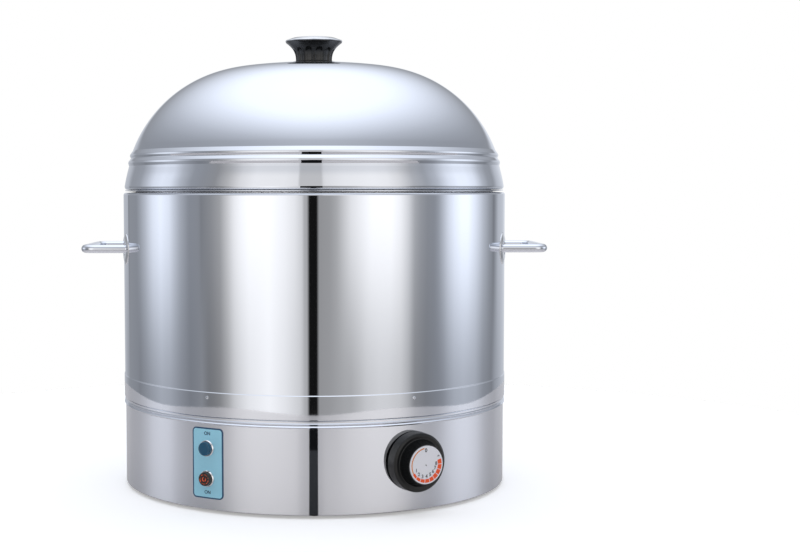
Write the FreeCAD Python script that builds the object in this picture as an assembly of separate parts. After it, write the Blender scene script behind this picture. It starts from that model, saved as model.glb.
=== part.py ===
import FreeCAD, Part
import math
import os

# Corn steamer, in millimetres. The feet stand on z = 0, +Z is up, the front faces -Y and the
# origin is on the axis of the round body. Every radius is measured from that axis unless a
# comment says otherwise.

Vector = FreeCAD.Vector
CENTRE = Vector(0, 0, 0)
UP = Vector(0, 0, 1)

# Driving dimensions of the sheet metal
sheet = 0.8
shell_radius = 190.0
hem_height = 3.0
housing_height = 79.8
neck_height = 26.0
shell_height = 204.6
vessel_inset = 12.0

# Driving dimensions of the lid
dome_inset = 11.5
crown_radius = 548.0
shoulder_radius = 129.0
shoulder_end_angle = 67.0
skirt_height = 24.4
bead_band_height = 18.9
spigot_depth = 8.2

# Driving dimensions of the knobs, handles and lamps
lid_knob_radius = 28.0
control_knob_radius = 27.0
control_knob_azimuth = 27.9
lamp_azimuth = -30.1
lamp_radius = 5.85
handle_rod = 8.0
handle_reach = 38.0
handle_spread = 100.0

# Clearances: face to face between lid and body, a slip fit, and a shaft in its bore
seat_gap = 0.3
fit_gap = 0.1
shaft_gap = 0.04

# Heights that follow from them
shoulder_z = hem_height + housing_height
neck_z = shoulder_z + neck_height
shell_edge_z = shoulder_z + 1.1
shell_top_z = shell_edge_z + shell_height
ledge_z = neck_z + 0.7
rim_z = shell_top_z + 0.6
rim_height = 1.8
lid_z = rim_z + rim_height + seat_gap
dome_z = lid_z + skirt_height + bead_band_height

# Radii that follow from them
swage = 0.6
housing_radius = shell_radius - 0.6
neck_radius = shell_radius + swage - sheet - fit_gap
neck_foot_radius = housing_radius - 2.4
flange_radius = shell_radius - 25.0
hem_radius = shell_radius - 20.0
vessel_radius = shell_radius - vessel_inset
vessel_bore = vessel_radius - sheet
dome_radius = shell_radius - dome_inset
spigot_radius = vessel_bore - 1.0


def turned(section):
    """Solid turned about the upright axis from radius and height pairs."""
    points = [Vector(r, 0, z) for r, z in section]
    face = Part.Face(Part.makePolygon(points + points[:1]))
    return face.revolve(CENTRE, UP, 360)


def straight(line):
    """Straight edges through radius and height pairs."""
    points = [Vector(r, 0, z) for r, z in line]
    return [Part.makeLine(a, b) for a, b in zip(points, points[1:])]


def spun(edges, thickness=sheet):
    """Sheet of even thickness turned from its outer line, whose right-hand side is the inside."""
    section = Part.Wire(edges).makeOffset2D(-thickness, 2, True, True, False)
    return section.revolve(CENTRE, UP, 360)


def hexagon(across_flats, height, bore, base=0.0):
    """Hexagonal nut or flange round the upright axis, with its bore."""
    corner = across_flats / math.sqrt(3)
    points = []
    for i in range(7):
        turn = math.radians(60 * i)
        points.append(Vector(corner * math.cos(turn), corner * math.sin(turn), base))
    prism = Part.Face(Part.makePolygon(points)).extrude(UP * height)
    return prism.cut(Part.makeCylinder(bore, height, Vector(0, 0, base)))


def box(width, depth, height, middle):
    """Upright box about a middle point."""
    corner = middle - Vector(width / 2, depth / 2, height / 2)
    return Part.makeBox(width, depth, height, corner)


def moved(shape, place):
    """Copy of a shape shifted by a vector."""
    copy = shape.copy()
    copy.translate(place)
    return copy


def round_axis(shape, angles):
    """Copies of a shape turned about the upright axis."""
    copies = []
    for angle in angles:
        copy = shape.copy()
        copy.rotate(CENTRE, UP, angle)
        copies.append(copy)
    return copies


def on_wall(shape, azimuth, height, radius):
    """A shape drawn along +Z stood on the round wall, pointing outward, with its +Y upward."""
    turn = math.radians(azimuth)
    outward = Vector(math.sin(turn), -math.cos(turn), 0)
    sideways = Vector(math.cos(turn), math.sin(turn), 0)
    rotation = FreeCAD.Rotation(sideways, UP, outward, "ZXY")
    place = FreeCAD.Placement(outward * radius + UP * height, rotation)
    copy = shape.copy()
    copy.Placement = place.multiply(shape.Placement)
    return copy


def sagitta(radius, half_width):
    """How far a round wall falls back from its tangent at a half width."""
    return radius - math.sqrt(radius ** 2 - half_width ** 2)


def joined(shapes):
    """One solid from shapes that touch or overlap."""
    return shapes[0].multiFuse(shapes[1:]).removeSplitter()


def cut_by(shape, tools):
    """A shape less a list of cutters."""
    return shape.cut(Part.makeCompound(tools))


def rounded_plate(width, height, corner, thickness):
    """Flat plate with rounded corners, centred on the upright axis."""
    side = width / 2 - corner
    end = height / 2 - corner
    plates = [
        Part.makeBox(width, 2 * end, thickness, Vector(-width / 2, -end, 0)),
        Part.makeBox(2 * side, height, thickness, Vector(-side, -height / 2, 0)),
    ]
    for x in (-side, side):
        for y in (-end, end):
            plates.append(Part.makeCylinder(corner, thickness, Vector(x, y, 0)))
    return joined(plates)


# Rivets that hold the body shell on the housing's neck
rivet_z = neck_z - 3.7
rivet_angles = [33, 90, 147, 213, 270, 327]
rivet_shank = 1.2
rivet_head = 2.0


def rivet_holes():
    hole = Part.makeCylinder(rivet_shank + shaft_gap, 8, Vector(0, 0, -5))
    upright = on_wall(hole, 0, rivet_z, shell_radius + swage)
    return round_axis(upright, rivet_angles)


def make_shell_rivets():
    grip = swage + sheet + fit_gap + sheet + 0.4
    section = [
        (0, -grip - 1.0),
        (rivet_head, -grip - 1.0),
        (rivet_head, -grip),
        (rivet_shank, -grip),
        (rivet_shank, 0),
        (rivet_head, 0),
        (rivet_head * 0.6, 1.0),
        (0, 1.0),
    ]
    rivet = on_wall(turned(section), 0, rivet_z, shell_radius + swage)
    return Part.makeCompound(round_axis(rivet, rivet_angles))


# Lamps: both stand on the label plate, one above the other
label_z = hem_height + 42.0
label_width = 33.6
label_height = 62.5
label_corner = 4.0
label_thickness = 0.5
label_radius = housing_radius + label_thickness
lamp_heights = [label_z + 13.4, label_z - 14.1]
lens_radius = lamp_radius + 0.35
bezel_radius = lens_radius + 1.1
lamp_depth = 24.0


def at_lamps(shape):
    return [on_wall(shape, lamp_azimuth, z, label_radius) for z in lamp_heights]


def lamp_holes():
    return at_lamps(Part.makeCylinder(lamp_radius + fit_gap, 6, Vector(0, 0, -4)))


def make_label_plate():
    plate = rounded_plate(label_width, label_height, label_corner, 12.0)
    block = on_wall(plate, lamp_azimuth, label_z, housing_radius - 6.0)
    section = [
        (housing_radius, label_z - label_height),
        (label_radius, label_z - label_height),
        (label_radius, label_z + label_height),
        (housing_radius, label_z + label_height),
    ]
    return cut_by(turned(section).common(block), lamp_holes())


def make_lamp_bezels():
    section = [
        (lens_radius + fit_gap, 0),
        (bezel_radius, 0),
        (bezel_radius, 1.6),
        (lens_radius + 0.6, 2.2),
        (lens_radius + fit_gap, 2.2),
    ]
    return Part.makeCompound(at_lamps(turned(section)))


def make_lens(place):
    """Round lens that stands in the bezel on the front of the lamp body."""
    section = [
        (0, 0.3),
        (lens_radius, 0.3),
        (lens_radius, 3.9),
        (lens_radius - 1.2, 5.1),
        (0, 5.1),
    ]
    return at_lamps(turned(section))[place]


def make_lamp_bodies():
    barrel = Part.makeCylinder(lamp_radius, lamp_depth + 0.3, Vector(0, 0, -lamp_depth))
    blades = [box(0.8, 4.8, 8.0, Vector(x, 0, -lamp_depth - 3.0)) for x in (-2.5, 2.5)]
    return Part.makeCompound(at_lamps(joined([barrel] + blades)))


def make_lamp_nuts():
    flats = 2 * lamp_radius + 4.0
    depth = label_thickness + sheet + sagitta(housing_radius - sheet, flats / math.sqrt(3))
    nut = hexagon(flats, 3.0, lamp_radius + shaft_gap, -depth - 3.1)
    return Part.makeCompound(at_lamps(nut))


# Thermostat: its body hangs behind the wall on two screws that the knob hides
knob_z = hem_height + 45.0
knob_lift = 0.8
knob_skirt = 11.0
knob_length = 21.2
hub_foot_radius = control_knob_radius - 6.0
hub_top_radius = control_knob_radius - 8.6
hub_ribs = 20
rib_depth = 0.9
dial_radius = control_knob_radius - 9.75
dial_thickness = 0.8
shaft_radius = 3.0
shaft_hole = 5.0
thermostat_width = 36.0
thermostat_height = 44.0
thermostat_depth = 24.0
thermostat_front = sheet + sagitta(housing_radius - sheet, thermostat_width / 2) + 0.1
screw_spread = 28.0
screw_shank = 2.0


def at_knob(shape):
    return on_wall(shape, control_knob_azimuth, knob_z, housing_radius)


def screw_places():
    return [Vector(-screw_spread / 2, 0, 0), Vector(screw_spread / 2, 0, 0)]


def knob_holes():
    hole = Part.makeCylinder(shaft_hole, 8, Vector(0, 0, -5))
    small = Part.makeCylinder(screw_shank + fit_gap, 8, Vector(0, 0, -5))
    return [at_knob(hole)] + [at_knob(moved(small, place)) for place in screw_places()]


def make_thermostat_body():
    middle = Vector(0, 0, -thermostat_front - thermostat_depth / 2)
    body = box(thermostat_width, thermostat_height, thermostat_depth, middle)
    body = body.makeChamfer(3.0, [e for e in body.Edges if abs(e.CenterOfMass.z - middle.z) < 0.1])
    back = -thermostat_front - thermostat_depth
    blades = [box(6.3, 0.8, 10.0, Vector(x, -14.0, back - 4.0)) for x in (-9.0, 9.0)]
    solid = joined([body] + blades)
    bore = Part.makeCylinder(shaft_radius + shaft_gap, 8, Vector(0, 0, -thermostat_front - 8))
    threads = Part.makeCylinder(screw_shank + shaft_gap, 7, Vector(0, 0, -thermostat_front - 7))
    return at_knob(cut_by(solid, [bore] + [moved(threads, place) for place in screw_places()]))


def make_thermostat_screws():
    head = sagitta(housing_radius, screw_spread / 2 - 4.0) - 0.05
    section = [
        (0, -thermostat_front - 6.5),
        (screw_shank, -thermostat_front - 6.5),
        (screw_shank, -head),
        (3.6, -head),
        (3.6, 1.4 - head),
        (2.6, 2.0 - head),
        (0, 2.0 - head),
    ]
    screw = turned(section)
    return Part.makeCompound([at_knob(moved(screw, place)) for place in screw_places()])


def make_thermostat_shaft():
    start = -thermostat_front - 7.5
    return at_knob(Part.makeCylinder(shaft_radius, 14.5 - start, Vector(0, 0, start)))


def ribbed_outline(radius, height):
    """Closed outline with flat-topped ribs, as a knob's grip has them."""
    points = []
    for i in range(hub_ribs):
        for part, depth in ((0.0, 0), (0.45, 0), (0.6, rib_depth), (0.85, rib_depth)):
            turn = 2 * math.pi * (i + part) / hub_ribs
            reach = radius - depth
            points.append(Vector(reach * math.cos(turn), reach * math.sin(turn), height))
    return Part.makePolygon(points + points[:1])


def make_control_knob():
    top = knob_length
    skirt_wall = 2.4
    cavity = knob_skirt - 2.2
    body = turned([
        (0, 0),
        (control_knob_radius, 0),
        (control_knob_radius - 0.4, knob_skirt - 1.0),
        (control_knob_radius - 1.4, knob_skirt),
        (0, knob_skirt),
    ])
    outlines = [ribbed_outline(hub_foot_radius, knob_skirt), ribbed_outline(hub_top_radius, top)]
    hub = Part.makeLoft(outlines, True, True)
    hollow = turned([
        (shaft_radius + 3.5, 0),
        (control_knob_radius - skirt_wall, 0),
        (control_knob_radius - skirt_wall, cavity),
        (hub_foot_radius - 3.4, cavity),
        (hub_top_radius - 2.8, top - 3.6),
        (shaft_radius + 3.5, top - 3.6),
    ])
    bore = Part.makeCylinder(shaft_radius + shaft_gap, 14.5 - knob_lift + fit_gap)
    recess = Part.makeCylinder(dial_radius + fit_gap, top, Vector(0, 0, top - dial_thickness))
    knob = cut_by(joined([body, hub]), [hollow, bore, recess])
    return at_knob(moved(knob, UP * knob_lift))


def make_dial_plate():
    base = knob_lift + knob_length - dial_thickness
    return at_knob(Part.makeCylinder(dial_radius, dial_thickness, Vector(0, 0, base)))


# Temperature bulb under the vessel floor, and the capillary that runs to it from the thermostat
bulb_radius = 3.0
bulb_length = 46.0
bulb_inset = 52.0
bulb_start = vessel_radius - bulb_inset
bulb_z = neck_z - bulb_radius - 0.1
capillary_radius = 0.8
capillary_bend = 14.0
capillary_lead = 18.0
capillary_run = bulb_start + capillary_lead


def make_sensing_bulb():
    bulb = Part.makeCylinder(bulb_radius, bulb_length, Vector(0, 0, -bulb_length))
    return on_wall(bulb, control_knob_azimuth, bulb_z, bulb_start)


def make_capillary_tube():
    low = knob_z - bulb_z
    start = housing_radius - thermostat_front - thermostat_depth - bulb_start
    out = capillary_run - bulb_start
    bend = capillary_bend
    half = bend * (1 - math.cos(math.pi / 4))
    lower_end = Vector(0, low, out + bend)
    lower_top = Vector(0, low + bend, out)
    upper_foot = Vector(0, -bend, out)
    upper_end = Vector(0, 0, out - bend)
    path = Part.Wire([
        Part.makeLine(Vector(0, low, start), lower_end),
        Part.Arc(lower_end, Vector(0, low + half, out + half), lower_top).toShape(),
        Part.makeLine(lower_top, upper_foot),
        Part.Arc(upper_foot, Vector(0, -half, out - half), upper_end).toShape(),
        Part.makeLine(upper_end, CENTRE),
    ])
    ring = Part.Wire(Part.makeCircle(capillary_radius, Vector(0, low, start), UP))
    tube = path.makePipeShell([ring], True, False)
    return on_wall(tube, control_knob_azimuth, bulb_z, bulb_start)


def make_bulb_clip():
    length = 9.0
    outer = Part.makeCylinder(bulb_radius + 0.9, length)
    saddle = outer.fuse(box(2 * bulb_radius + 1.8, bulb_radius, length,
                            Vector(0, bulb_radius / 2, length / 2)))
    ears = box(26.0, 0.8, length, Vector(0, bulb_radius - 0.3, length / 2))
    bore = Part.makeCylinder(bulb_radius + shaft_gap, length)
    mouth = box(2 * bulb_radius, 2 * bulb_radius, length, Vector(0, bulb_radius, length / 2))
    clip = cut_by(joined([saddle, ears]), [bore, mouth])
    return on_wall(clip, control_knob_azimuth, bulb_z, bulb_start - bulb_length / 2)


# Cable gland at the back, empty, and its locknut inside
gland_z = hem_height + 32.0
gland_bore = 4.5
gland_thread = 7.9
gland_flats = 22.0
gland_length = 6.0
gland_stem = 9.0
gland_azimuth = 180


def at_gland(shape):
    return on_wall(shape, gland_azimuth, gland_z, housing_radius)


def gland_holes():
    return [at_gland(Part.makeCylinder(gland_thread + fit_gap, 8, Vector(0, 0, -5)))]


def make_cable_gland():
    half = gland_length / 2
    stem = Part.makeCylinder(gland_thread, gland_stem, Vector(0, 0, -gland_stem))
    flange = hexagon(gland_flats, half, gland_bore)
    cap = turned([(0, half), (9.4, half), (9.4, half + 1.0), (7.4, gland_length), (0, gland_length)])
    bore = Part.makeCylinder(gland_bore, 30, Vector(0, 0, -15))
    return at_gland(joined([stem, flange, cap]).cut(bore))


def make_gland_nut():
    depth = sheet + sagitta(housing_radius - sheet, gland_flats / math.sqrt(3))
    return at_gland(hexagon(gland_flats, 3.0, gland_thread + shaft_gap, -depth - 3.1))


# Base housing: the polished band, its shoulder, and the neck and flange inside the body shell
def make_base_housing():
    line = [
        (flange_radius, neck_z),
        (neck_radius, neck_z),
        (neck_radius, neck_z - 8.0),
        (neck_foot_radius, shoulder_z),
        (housing_radius - 0.6, shoulder_z - 0.6),
        (housing_radius, shoulder_z - 2.0),
        (housing_radius, hem_height + 1.0),
        (housing_radius - 1.0, hem_height),
        (hem_radius, hem_height),
    ]
    holes = rivet_holes() + lamp_holes() + knob_holes() + gland_holes() + plate_screw_holes()
    return cut_by(spun(straight(line)), holes)


# Base plate: a shallow pan under the housing's hem, with vent slots, feet and its screws
plate_sheet = 1.0
plate_z = 8.0
plate_edge = housing_radius - 5.4
plate_screw_circle = hem_radius + 5.0
plate_screw_angles = [30, 90, 150, 210, 270, 330]
plate_screw_shank = 1.45
foot_inset = 30.0
foot_circle = hem_radius - foot_inset
foot_angles = [45, 135, 225, 315]
foot_radius = 12.0
foot_screw_shank = 2.0
foot_screw_head = 4.0
foot_screw_reach = 6.0
vent_slots = 8
vent_length = 44.0
vent_width = 5.0
vent_inset = 65.0
vent_circle = foot_circle - vent_inset


def plate_screw_holes():
    place = Vector(plate_screw_circle, 0, 0)
    hole = Part.makeCylinder(plate_screw_shank + shaft_gap, 2 * hem_height, place)
    return round_axis(hole, plate_screw_angles)


def make_base_plate():
    line = [
        (0, plate_z + plate_sheet),
        (hem_radius - 7.0, plate_z + plate_sheet),
        (hem_radius - 3.5, hem_height),
        (plate_edge, hem_height),
    ]
    foot_hole = Part.makeCylinder(foot_screw_shank + fit_gap, 20, Vector(foot_circle, 0, 0))
    slot = box(vent_length, vent_width, 20, Vector(vent_circle, 0, plate_z))
    slot_angles = [(i + 0.5) * 360 / vent_slots for i in range(vent_slots)]
    holes = plate_screw_holes() + round_axis(foot_hole, foot_angles) + round_axis(slot, slot_angles)
    return cut_by(spun(straight(line), plate_sheet), holes)


def make_base_plate_screws():
    section = [
        (0, hem_height - plate_sheet - 1.8),
        (3.0, hem_height - plate_sheet - 1.8),
        (3.0, hem_height - plate_sheet),
        (plate_screw_shank, hem_height - plate_sheet),
        (plate_screw_shank, hem_height + 4.5),
        (0, hem_height + 4.5),
    ]
    screw = moved(turned(section), Vector(plate_screw_circle, 0, 0))
    return Part.makeCompound(round_axis(screw, plate_screw_angles))


def make_rubber_feet():
    section = [
        (foot_screw_shank + fit_gap, plate_z / 2),
        (foot_screw_head + 1.2, plate_z / 2),
        (foot_screw_head + 1.2, 0),
        (foot_radius - 1.0, 0),
        (foot_radius, plate_z),
        (foot_screw_shank + fit_gap, plate_z),
    ]
    foot = moved(turned(section), Vector(foot_circle, 0, 0))
    return Part.makeCompound(round_axis(foot, foot_angles))


def make_foot_screws():
    section = [
        (0, plate_z / 2 - 2.4),
        (foot_screw_head, plate_z / 2 - 2.4),
        (foot_screw_head, plate_z / 2),
        (foot_screw_shank, plate_z / 2),
        (foot_screw_shank, plate_z + foot_screw_reach),
        (0, plate_z + foot_screw_reach),
    ]
    screw = moved(turned(section), Vector(foot_circle, 0, 0))
    return Part.makeCompound(round_axis(screw, foot_angles))


def make_foot_nuts():
    nut = hexagon(7.0, 3.2, foot_screw_shank + shaft_gap, plate_z + plate_sheet)
    return Part.makeCompound(round_axis(moved(nut, Vector(foot_circle, 0, 0)), foot_angles))


# Terminal block and earth stud on the base plate, behind the vessel's heater
block_inset = 58.0
block_length = 46.0
stud_spacing = 25.0
block_place = Vector(0, hem_radius - block_inset, plate_z + plate_sheet)
stud_place = block_place + Vector(block_length / 2 + stud_spacing, 0, 0)


def make_terminal_block():
    section = [
        Vector(0, -9, 0),
        Vector(0, 9, 0),
        Vector(0, 9, 8),
        Vector(0, 5, 8),
        Vector(0, 5, 17),
        Vector(0, -5, 17),
        Vector(0, -5, 8),
        Vector(0, -9, 8),
        Vector(0, -9, 0),
    ]
    block = Part.Face(Part.makePolygon(section)).extrude(Vector(block_length, 0, 0))
    block.translate(Vector(-block_length / 2, 0, 0))
    pitch = block_length / 3
    gaps = [box(2.0, 30, 12.0, Vector(x, 0, 14.0)) for x in (-pitch / 2, pitch / 2)]
    bores = [Part.makeCylinder(2.2, 24, Vector(x, -12, 12), Vector(0, 1, 0))
             for x in (-pitch, 0, pitch)]
    return moved(cut_by(block, gaps + bores), block_place)


def make_earth_stud():
    stud = Part.makeCylinder(2.5, 18.0)
    nut = hexagon(8.0, 4.0, 2.4, 6.0)
    collar = Part.makeCylinder(5.0, 1.2)
    return moved(joined([stud, nut, collar]), stud_place)


# Body shell: top corner, swaged ledge and curled lower edge, with holes for the handle rods
handle_z = shell_top_z - 54.5
rod_radius = handle_rod / 2
handle_bend = 10.0
leg_end = vessel_radius - 3.5
washer_radius = 15.5
washer_thickness = 1.5


def wall_reach(radius, half_spread):
    """Distance from the middle plane to a round wall at a sideways offset."""
    return math.sqrt(radius ** 2 - half_spread ** 2)


def rod_cutters(clearance):
    """Cylinders through both sides of the wall, where the four handle legs pass."""
    tools = []
    for y in (-handle_spread / 2, handle_spread / 2):
        start = Vector(-shell_radius - 20, y, handle_z)
        tools.append(Part.makeCylinder(rod_radius + clearance, 2 * shell_radius + 40, start,
                                       Vector(1, 0, 0)))
    return tools


def make_outer_shell():
    low_radius = shell_radius + swage
    line = [
        (vessel_radius + fit_gap, rim_z),
        (shell_radius - 2.6, shell_top_z),
        (shell_radius - 0.8, shell_top_z - 0.8),
        (shell_radius, shell_top_z - 2.6),
        (shell_radius, ledge_z + 0.6),
        (low_radius, ledge_z - 0.4),
        (low_radius, shell_edge_z + 3.4),
        (low_radius - 1.0, shell_edge_z + 1.0),
        (low_radius - 2.7, shell_edge_z),
    ]
    return cut_by(spun(straight(line)), rivet_holes() + rod_cutters(fit_gap))


# Inner vessel: the rim is folded flat on itself and rests on the body shell's flange
def make_inner_vessel():
    corner = 8.0
    inner_corner = corner - 0.4 * sheet
    rim_radius = shell_radius - 0.7
    section = [
        (0, neck_z),
        (vessel_radius - corner, neck_z),
        (vessel_radius, neck_z + corner),
        (vessel_radius, rim_z),
        (rim_radius - 0.4, rim_z),
        (rim_radius, rim_z + 0.5),
        (rim_radius, rim_z + rim_height - 0.5),
        (rim_radius - 0.4, rim_z + rim_height),
        (vessel_bore, rim_z + rim_height),
        (vessel_bore, neck_z + sheet + inner_corner),
        (vessel_bore - inner_corner, neck_z + sheet),
        (0, neck_z + sheet),
    ]
    return turned(section)


# Heater under the vessel floor, held by a stud on the floor, a clamp plate and a nut
heater_edge_gap = 2.0
heater_radius = bulb_start - bulb_length - heater_edge_gap
heater_thickness = 5.0
clamp_inset = 12.0
clamp_radius = heater_radius - clamp_inset
clamp_thickness = 2.0
heater_stud = 4.0
clamp_z = neck_z - heater_thickness - clamp_thickness


def make_heater_plate():
    disc = Part.makeCylinder(heater_radius, heater_thickness,
                             Vector(0, 0, neck_z - heater_thickness))
    middle = Vector(0, clamp_radius + 6.0, neck_z - heater_thickness - 5.0)
    blades = [box(0.8, 6.3, 12.0, middle + Vector(x, 0, 0)) for x in (-9.0, 9.0)]
    bore = Part.makeCylinder(heater_stud + fit_gap, neck_z)
    return joined([disc] + blades).cut(bore)


def make_heater_clamp():
    ribs = [box(2 * clamp_radius - 16.0, 3.0, 5.0, Vector(0, 0, clamp_z - 1.5))]
    ribs += round_axis(ribs[0], [60, 120])
    disc = Part.makeCylinder(clamp_radius, clamp_thickness, Vector(0, 0, clamp_z))
    pad = Part.makeCylinder(11.0, 4.0, Vector(0, 0, clamp_z - 4.0))
    return joined([disc, pad] + ribs).cut(Part.makeCylinder(heater_stud + fit_gap, neck_z))


def make_heater_stud():
    return Part.makeCylinder(heater_stud, 24.0, Vector(0, 0, neck_z - 24.0))


def make_heater_nut():
    return hexagon(13.0, 6.5, heater_stud + shaft_gap, clamp_z - 4.0 - 6.5)


# Side handles: U-shaped rods through washers and the wall, with nuts inside
def make_handle(side):
    tip = shell_radius + handle_reach - rod_radius
    half = handle_spread / 2
    bend = handle_bend
    curve = bend * (1 - math.cos(math.pi / 4))
    corners = []
    for y in (-half, half):
        inner = y - math.copysign(bend, y)
        mid = Vector(side * (tip - curve), y - math.copysign(curve, y), handle_z)
        corners.append((Vector(side * (tip - bend), y, handle_z), mid,
                        Vector(side * tip, inner, handle_z)))
    first, last = corners
    start = Vector(side * leg_end, -half, handle_z)
    path = Part.Wire([
        Part.makeLine(start, first[0]),
        Part.Arc(*first).toShape(),
        Part.makeLine(first[2], last[2]),
        Part.Arc(last[2], last[1], last[0]).toShape(),
        Part.makeLine(last[0], Vector(side * leg_end, half, handle_z)),
    ])
    ring = Part.Wire(Part.makeCircle(rod_radius, start, Vector(side, 0, 0)))
    return path.makePipeShell([ring], True, False)


def handle_corners():
    """The four leg places as pairs of side and sideways offset."""
    half = handle_spread / 2
    return [(side, y) for side in (-1, 1) for y in (-half, half)]


def make_handle_washers():
    disc = Part.makeCylinder(washer_radius, washer_thickness)
    washers = []
    for side, y in handle_corners():
        azimuth = math.degrees(math.atan2(side * wall_reach(shell_radius, y), -y))
        washers.append(on_wall(disc, azimuth, handle_z, shell_radius + 0.02))
    return Part.makeCompound([cut_by(washer, rod_cutters(seat_gap)) for washer in washers])


def make_handle_nuts():
    flats = 13.0
    height = 5.0
    face = wall_reach(shell_radius - sheet, handle_spread / 2 + flats / math.sqrt(3)) - fit_gap
    nut = hexagon(flats, height, rod_radius + shaft_gap)
    nut.rotate(CENTRE, Vector(0, 1, 0), 90)
    nuts = []
    for side, y in handle_corners():
        start = face - height if side > 0 else -face
        nuts.append(moved(nut, Vector(start, y, handle_z)))
    return Part.makeCompound(nuts)


# Steam tray: a slotted plate with a turned-down edge on three legs, with a lifting loop
tray_z = neck_z + 78.0
tray_radius = vessel_bore - 3.2
tray_edge = 9.0
tray_slots = 12
slot_width = 7.0
outer_slot_length = 52.0
inner_slot_length = 36.0
slot_edge_inset = 22.0
slot_row_gap = 18.0
tray_leg_circle = tray_radius - 14.0
tray_leg_radius = 4.0
loop_rod = 2.5
loop_half_width = 24.0
loop_height = 62.0
loop_bend = 12.0


def make_steam_tray():
    line = [(0, tray_z), (tray_radius, tray_z), (tray_radius, tray_z - tray_edge)]
    outer_middle = tray_radius - slot_edge_inset - outer_slot_length / 2
    inner_middle = outer_middle - (outer_slot_length + inner_slot_length) / 2 - slot_row_gap
    rows = [(outer_slot_length, outer_middle, 0.0), (inner_slot_length, inner_middle, 0.5)]
    slots = []
    for length, middle, shift in rows:
        slot = box(length, slot_width, 4 * sheet, Vector(middle, 0, tray_z - sheet))
        angles = [(i + shift) * 360 / tray_slots for i in range(tray_slots)]
        slots += round_axis(slot, angles)
    feet = [Part.makeCylinder(loop_rod + shaft_gap, 10, Vector(x, 0, tray_z - 5))
            for x in (-loop_half_width, loop_half_width)]
    return cut_by(spun(straight(line)), slots + feet)


def make_tray_legs():
    low = neck_z + sheet + seat_gap
    leg = Part.makeCylinder(tray_leg_radius, tray_z - sheet - low, Vector(tray_leg_circle, 0, low))
    return Part.makeCompound(round_axis(leg, [45, 165, 285]))


def make_tray_handle():
    low = tray_z - sheet - 2.0
    top = tray_z + loop_height
    half = loop_half_width
    bend = loop_bend
    curve = bend * (1 - math.cos(math.pi / 4))
    start = Vector(-half, 0, low)
    path = Part.Wire([
        Part.makeLine(start, Vector(-half, 0, top - bend)),
        Part.Arc(Vector(-half, 0, top - bend), Vector(-half + curve, 0, top - curve),
                 Vector(-half + bend, 0, top)).toShape(),
        Part.makeLine(Vector(-half + bend, 0, top), Vector(half - bend, 0, top)),
        Part.Arc(Vector(half - bend, 0, top), Vector(half - curve, 0, top - curve),
                 Vector(half, 0, top - bend)).toShape(),
        Part.makeLine(Vector(half, 0, top - bend), Vector(half, 0, low)),
    ])
    ring = Part.Wire(Part.makeCircle(loop_rod, start, UP))
    rod = path.makePipeShell([ring], True, False)
    collar = Part.makeCylinder(loop_rod + 2.5, 1.5)
    collars = [moved(collar, Vector(x, 0, tray_z)) for x in (-half, half)]
    return joined([rod] + collars)


# Lid: one spun sheet. The dome is two arcs that meet tangent to each other; below it come a
# short neck, two pressed beads, a flared skirt, a flat seat and a spigot inside the vessel
screw_hole = 3.2
end_angle = math.radians(shoulder_end_angle)
arc_centre_radius = dome_radius - shoulder_radius * math.sin(end_angle)
arc_centre_z = dome_z - shoulder_radius * math.cos(end_angle)
crown_offset = crown_radius - shoulder_radius
join_angle = math.asin(arc_centre_radius / crown_offset)
crown_centre_z = arc_centre_z - crown_offset * math.cos(join_angle)
dome_top_z = crown_centre_z + crown_radius


def crown_point(angle):
    return Vector(crown_radius * math.sin(angle), 0, crown_centre_z + crown_radius * math.cos(angle))


def shoulder_point(angle):
    return Vector(arc_centre_radius + shoulder_radius * math.sin(angle), 0,
                  arc_centre_z + shoulder_radius * math.cos(angle))


def dome_arcs():
    """Outer line of the dome from the screw hole down to the neck."""
    arcs = []
    for place, first, last in ((crown_point, math.asin(screw_hole / crown_radius), join_angle),
                               (shoulder_point, join_angle, end_angle)):
        arcs.append(Part.Arc(place(first), place((first + last) / 2), place(last)).toShape())
    return arcs


def make_lid_shell():
    bead_top = dome_z - 4.9
    beads = [
        (dome_radius, dome_z),
        (dome_radius + 0.4, bead_top),
        (dome_radius + 4.4, bead_top - 1.0),
        (dome_radius + 4.6, bead_top - 4.0),
        (dome_radius + 3.5, bead_top - 5.8),
        (dome_radius + 6.2, bead_top - 8.4),
        (dome_radius + 6.3, bead_top - 11.4),
        (dome_radius + 5.5, bead_top - 14.0),
    ]
    skirt_radius = shell_radius - 1.0
    skirt = [
        (skirt_radius, lid_z + 6.8),
        (skirt_radius, lid_z + 2.4),
        (skirt_radius - 2.4, lid_z),
        (spigot_radius, lid_z),
        (spigot_radius, lid_z - spigot_depth),
    ]
    return spun(dome_arcs() + straight(beads + skirt))


# Lid knob: a black seat disc, the fluted knob, its polished cap, and the screw from inside
knob_seat_top = dome_top_z + 1.6
lid_knob_height = 19.4
knob_top_z = knob_seat_top + lid_knob_height
lid_screw = 3.0
lid_screw_reach = 10.2
flute_count = 12
flute_radius = 3.4


def make_knob_seat():
    reach = lid_knob_radius - 0.5
    lift = sagitta(crown_radius, (reach - screw_hole) / 2) + 0.05
    edge_z = crown_centre_z + wall_reach(crown_radius, reach)
    section = [
        (screw_hole, dome_top_z + lift),
        (reach, edge_z + lift),
        (reach, knob_seat_top - 0.7),
        (reach - 0.8, knob_seat_top),
        (screw_hole, knob_seat_top),
    ]
    return turned(section)


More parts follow.
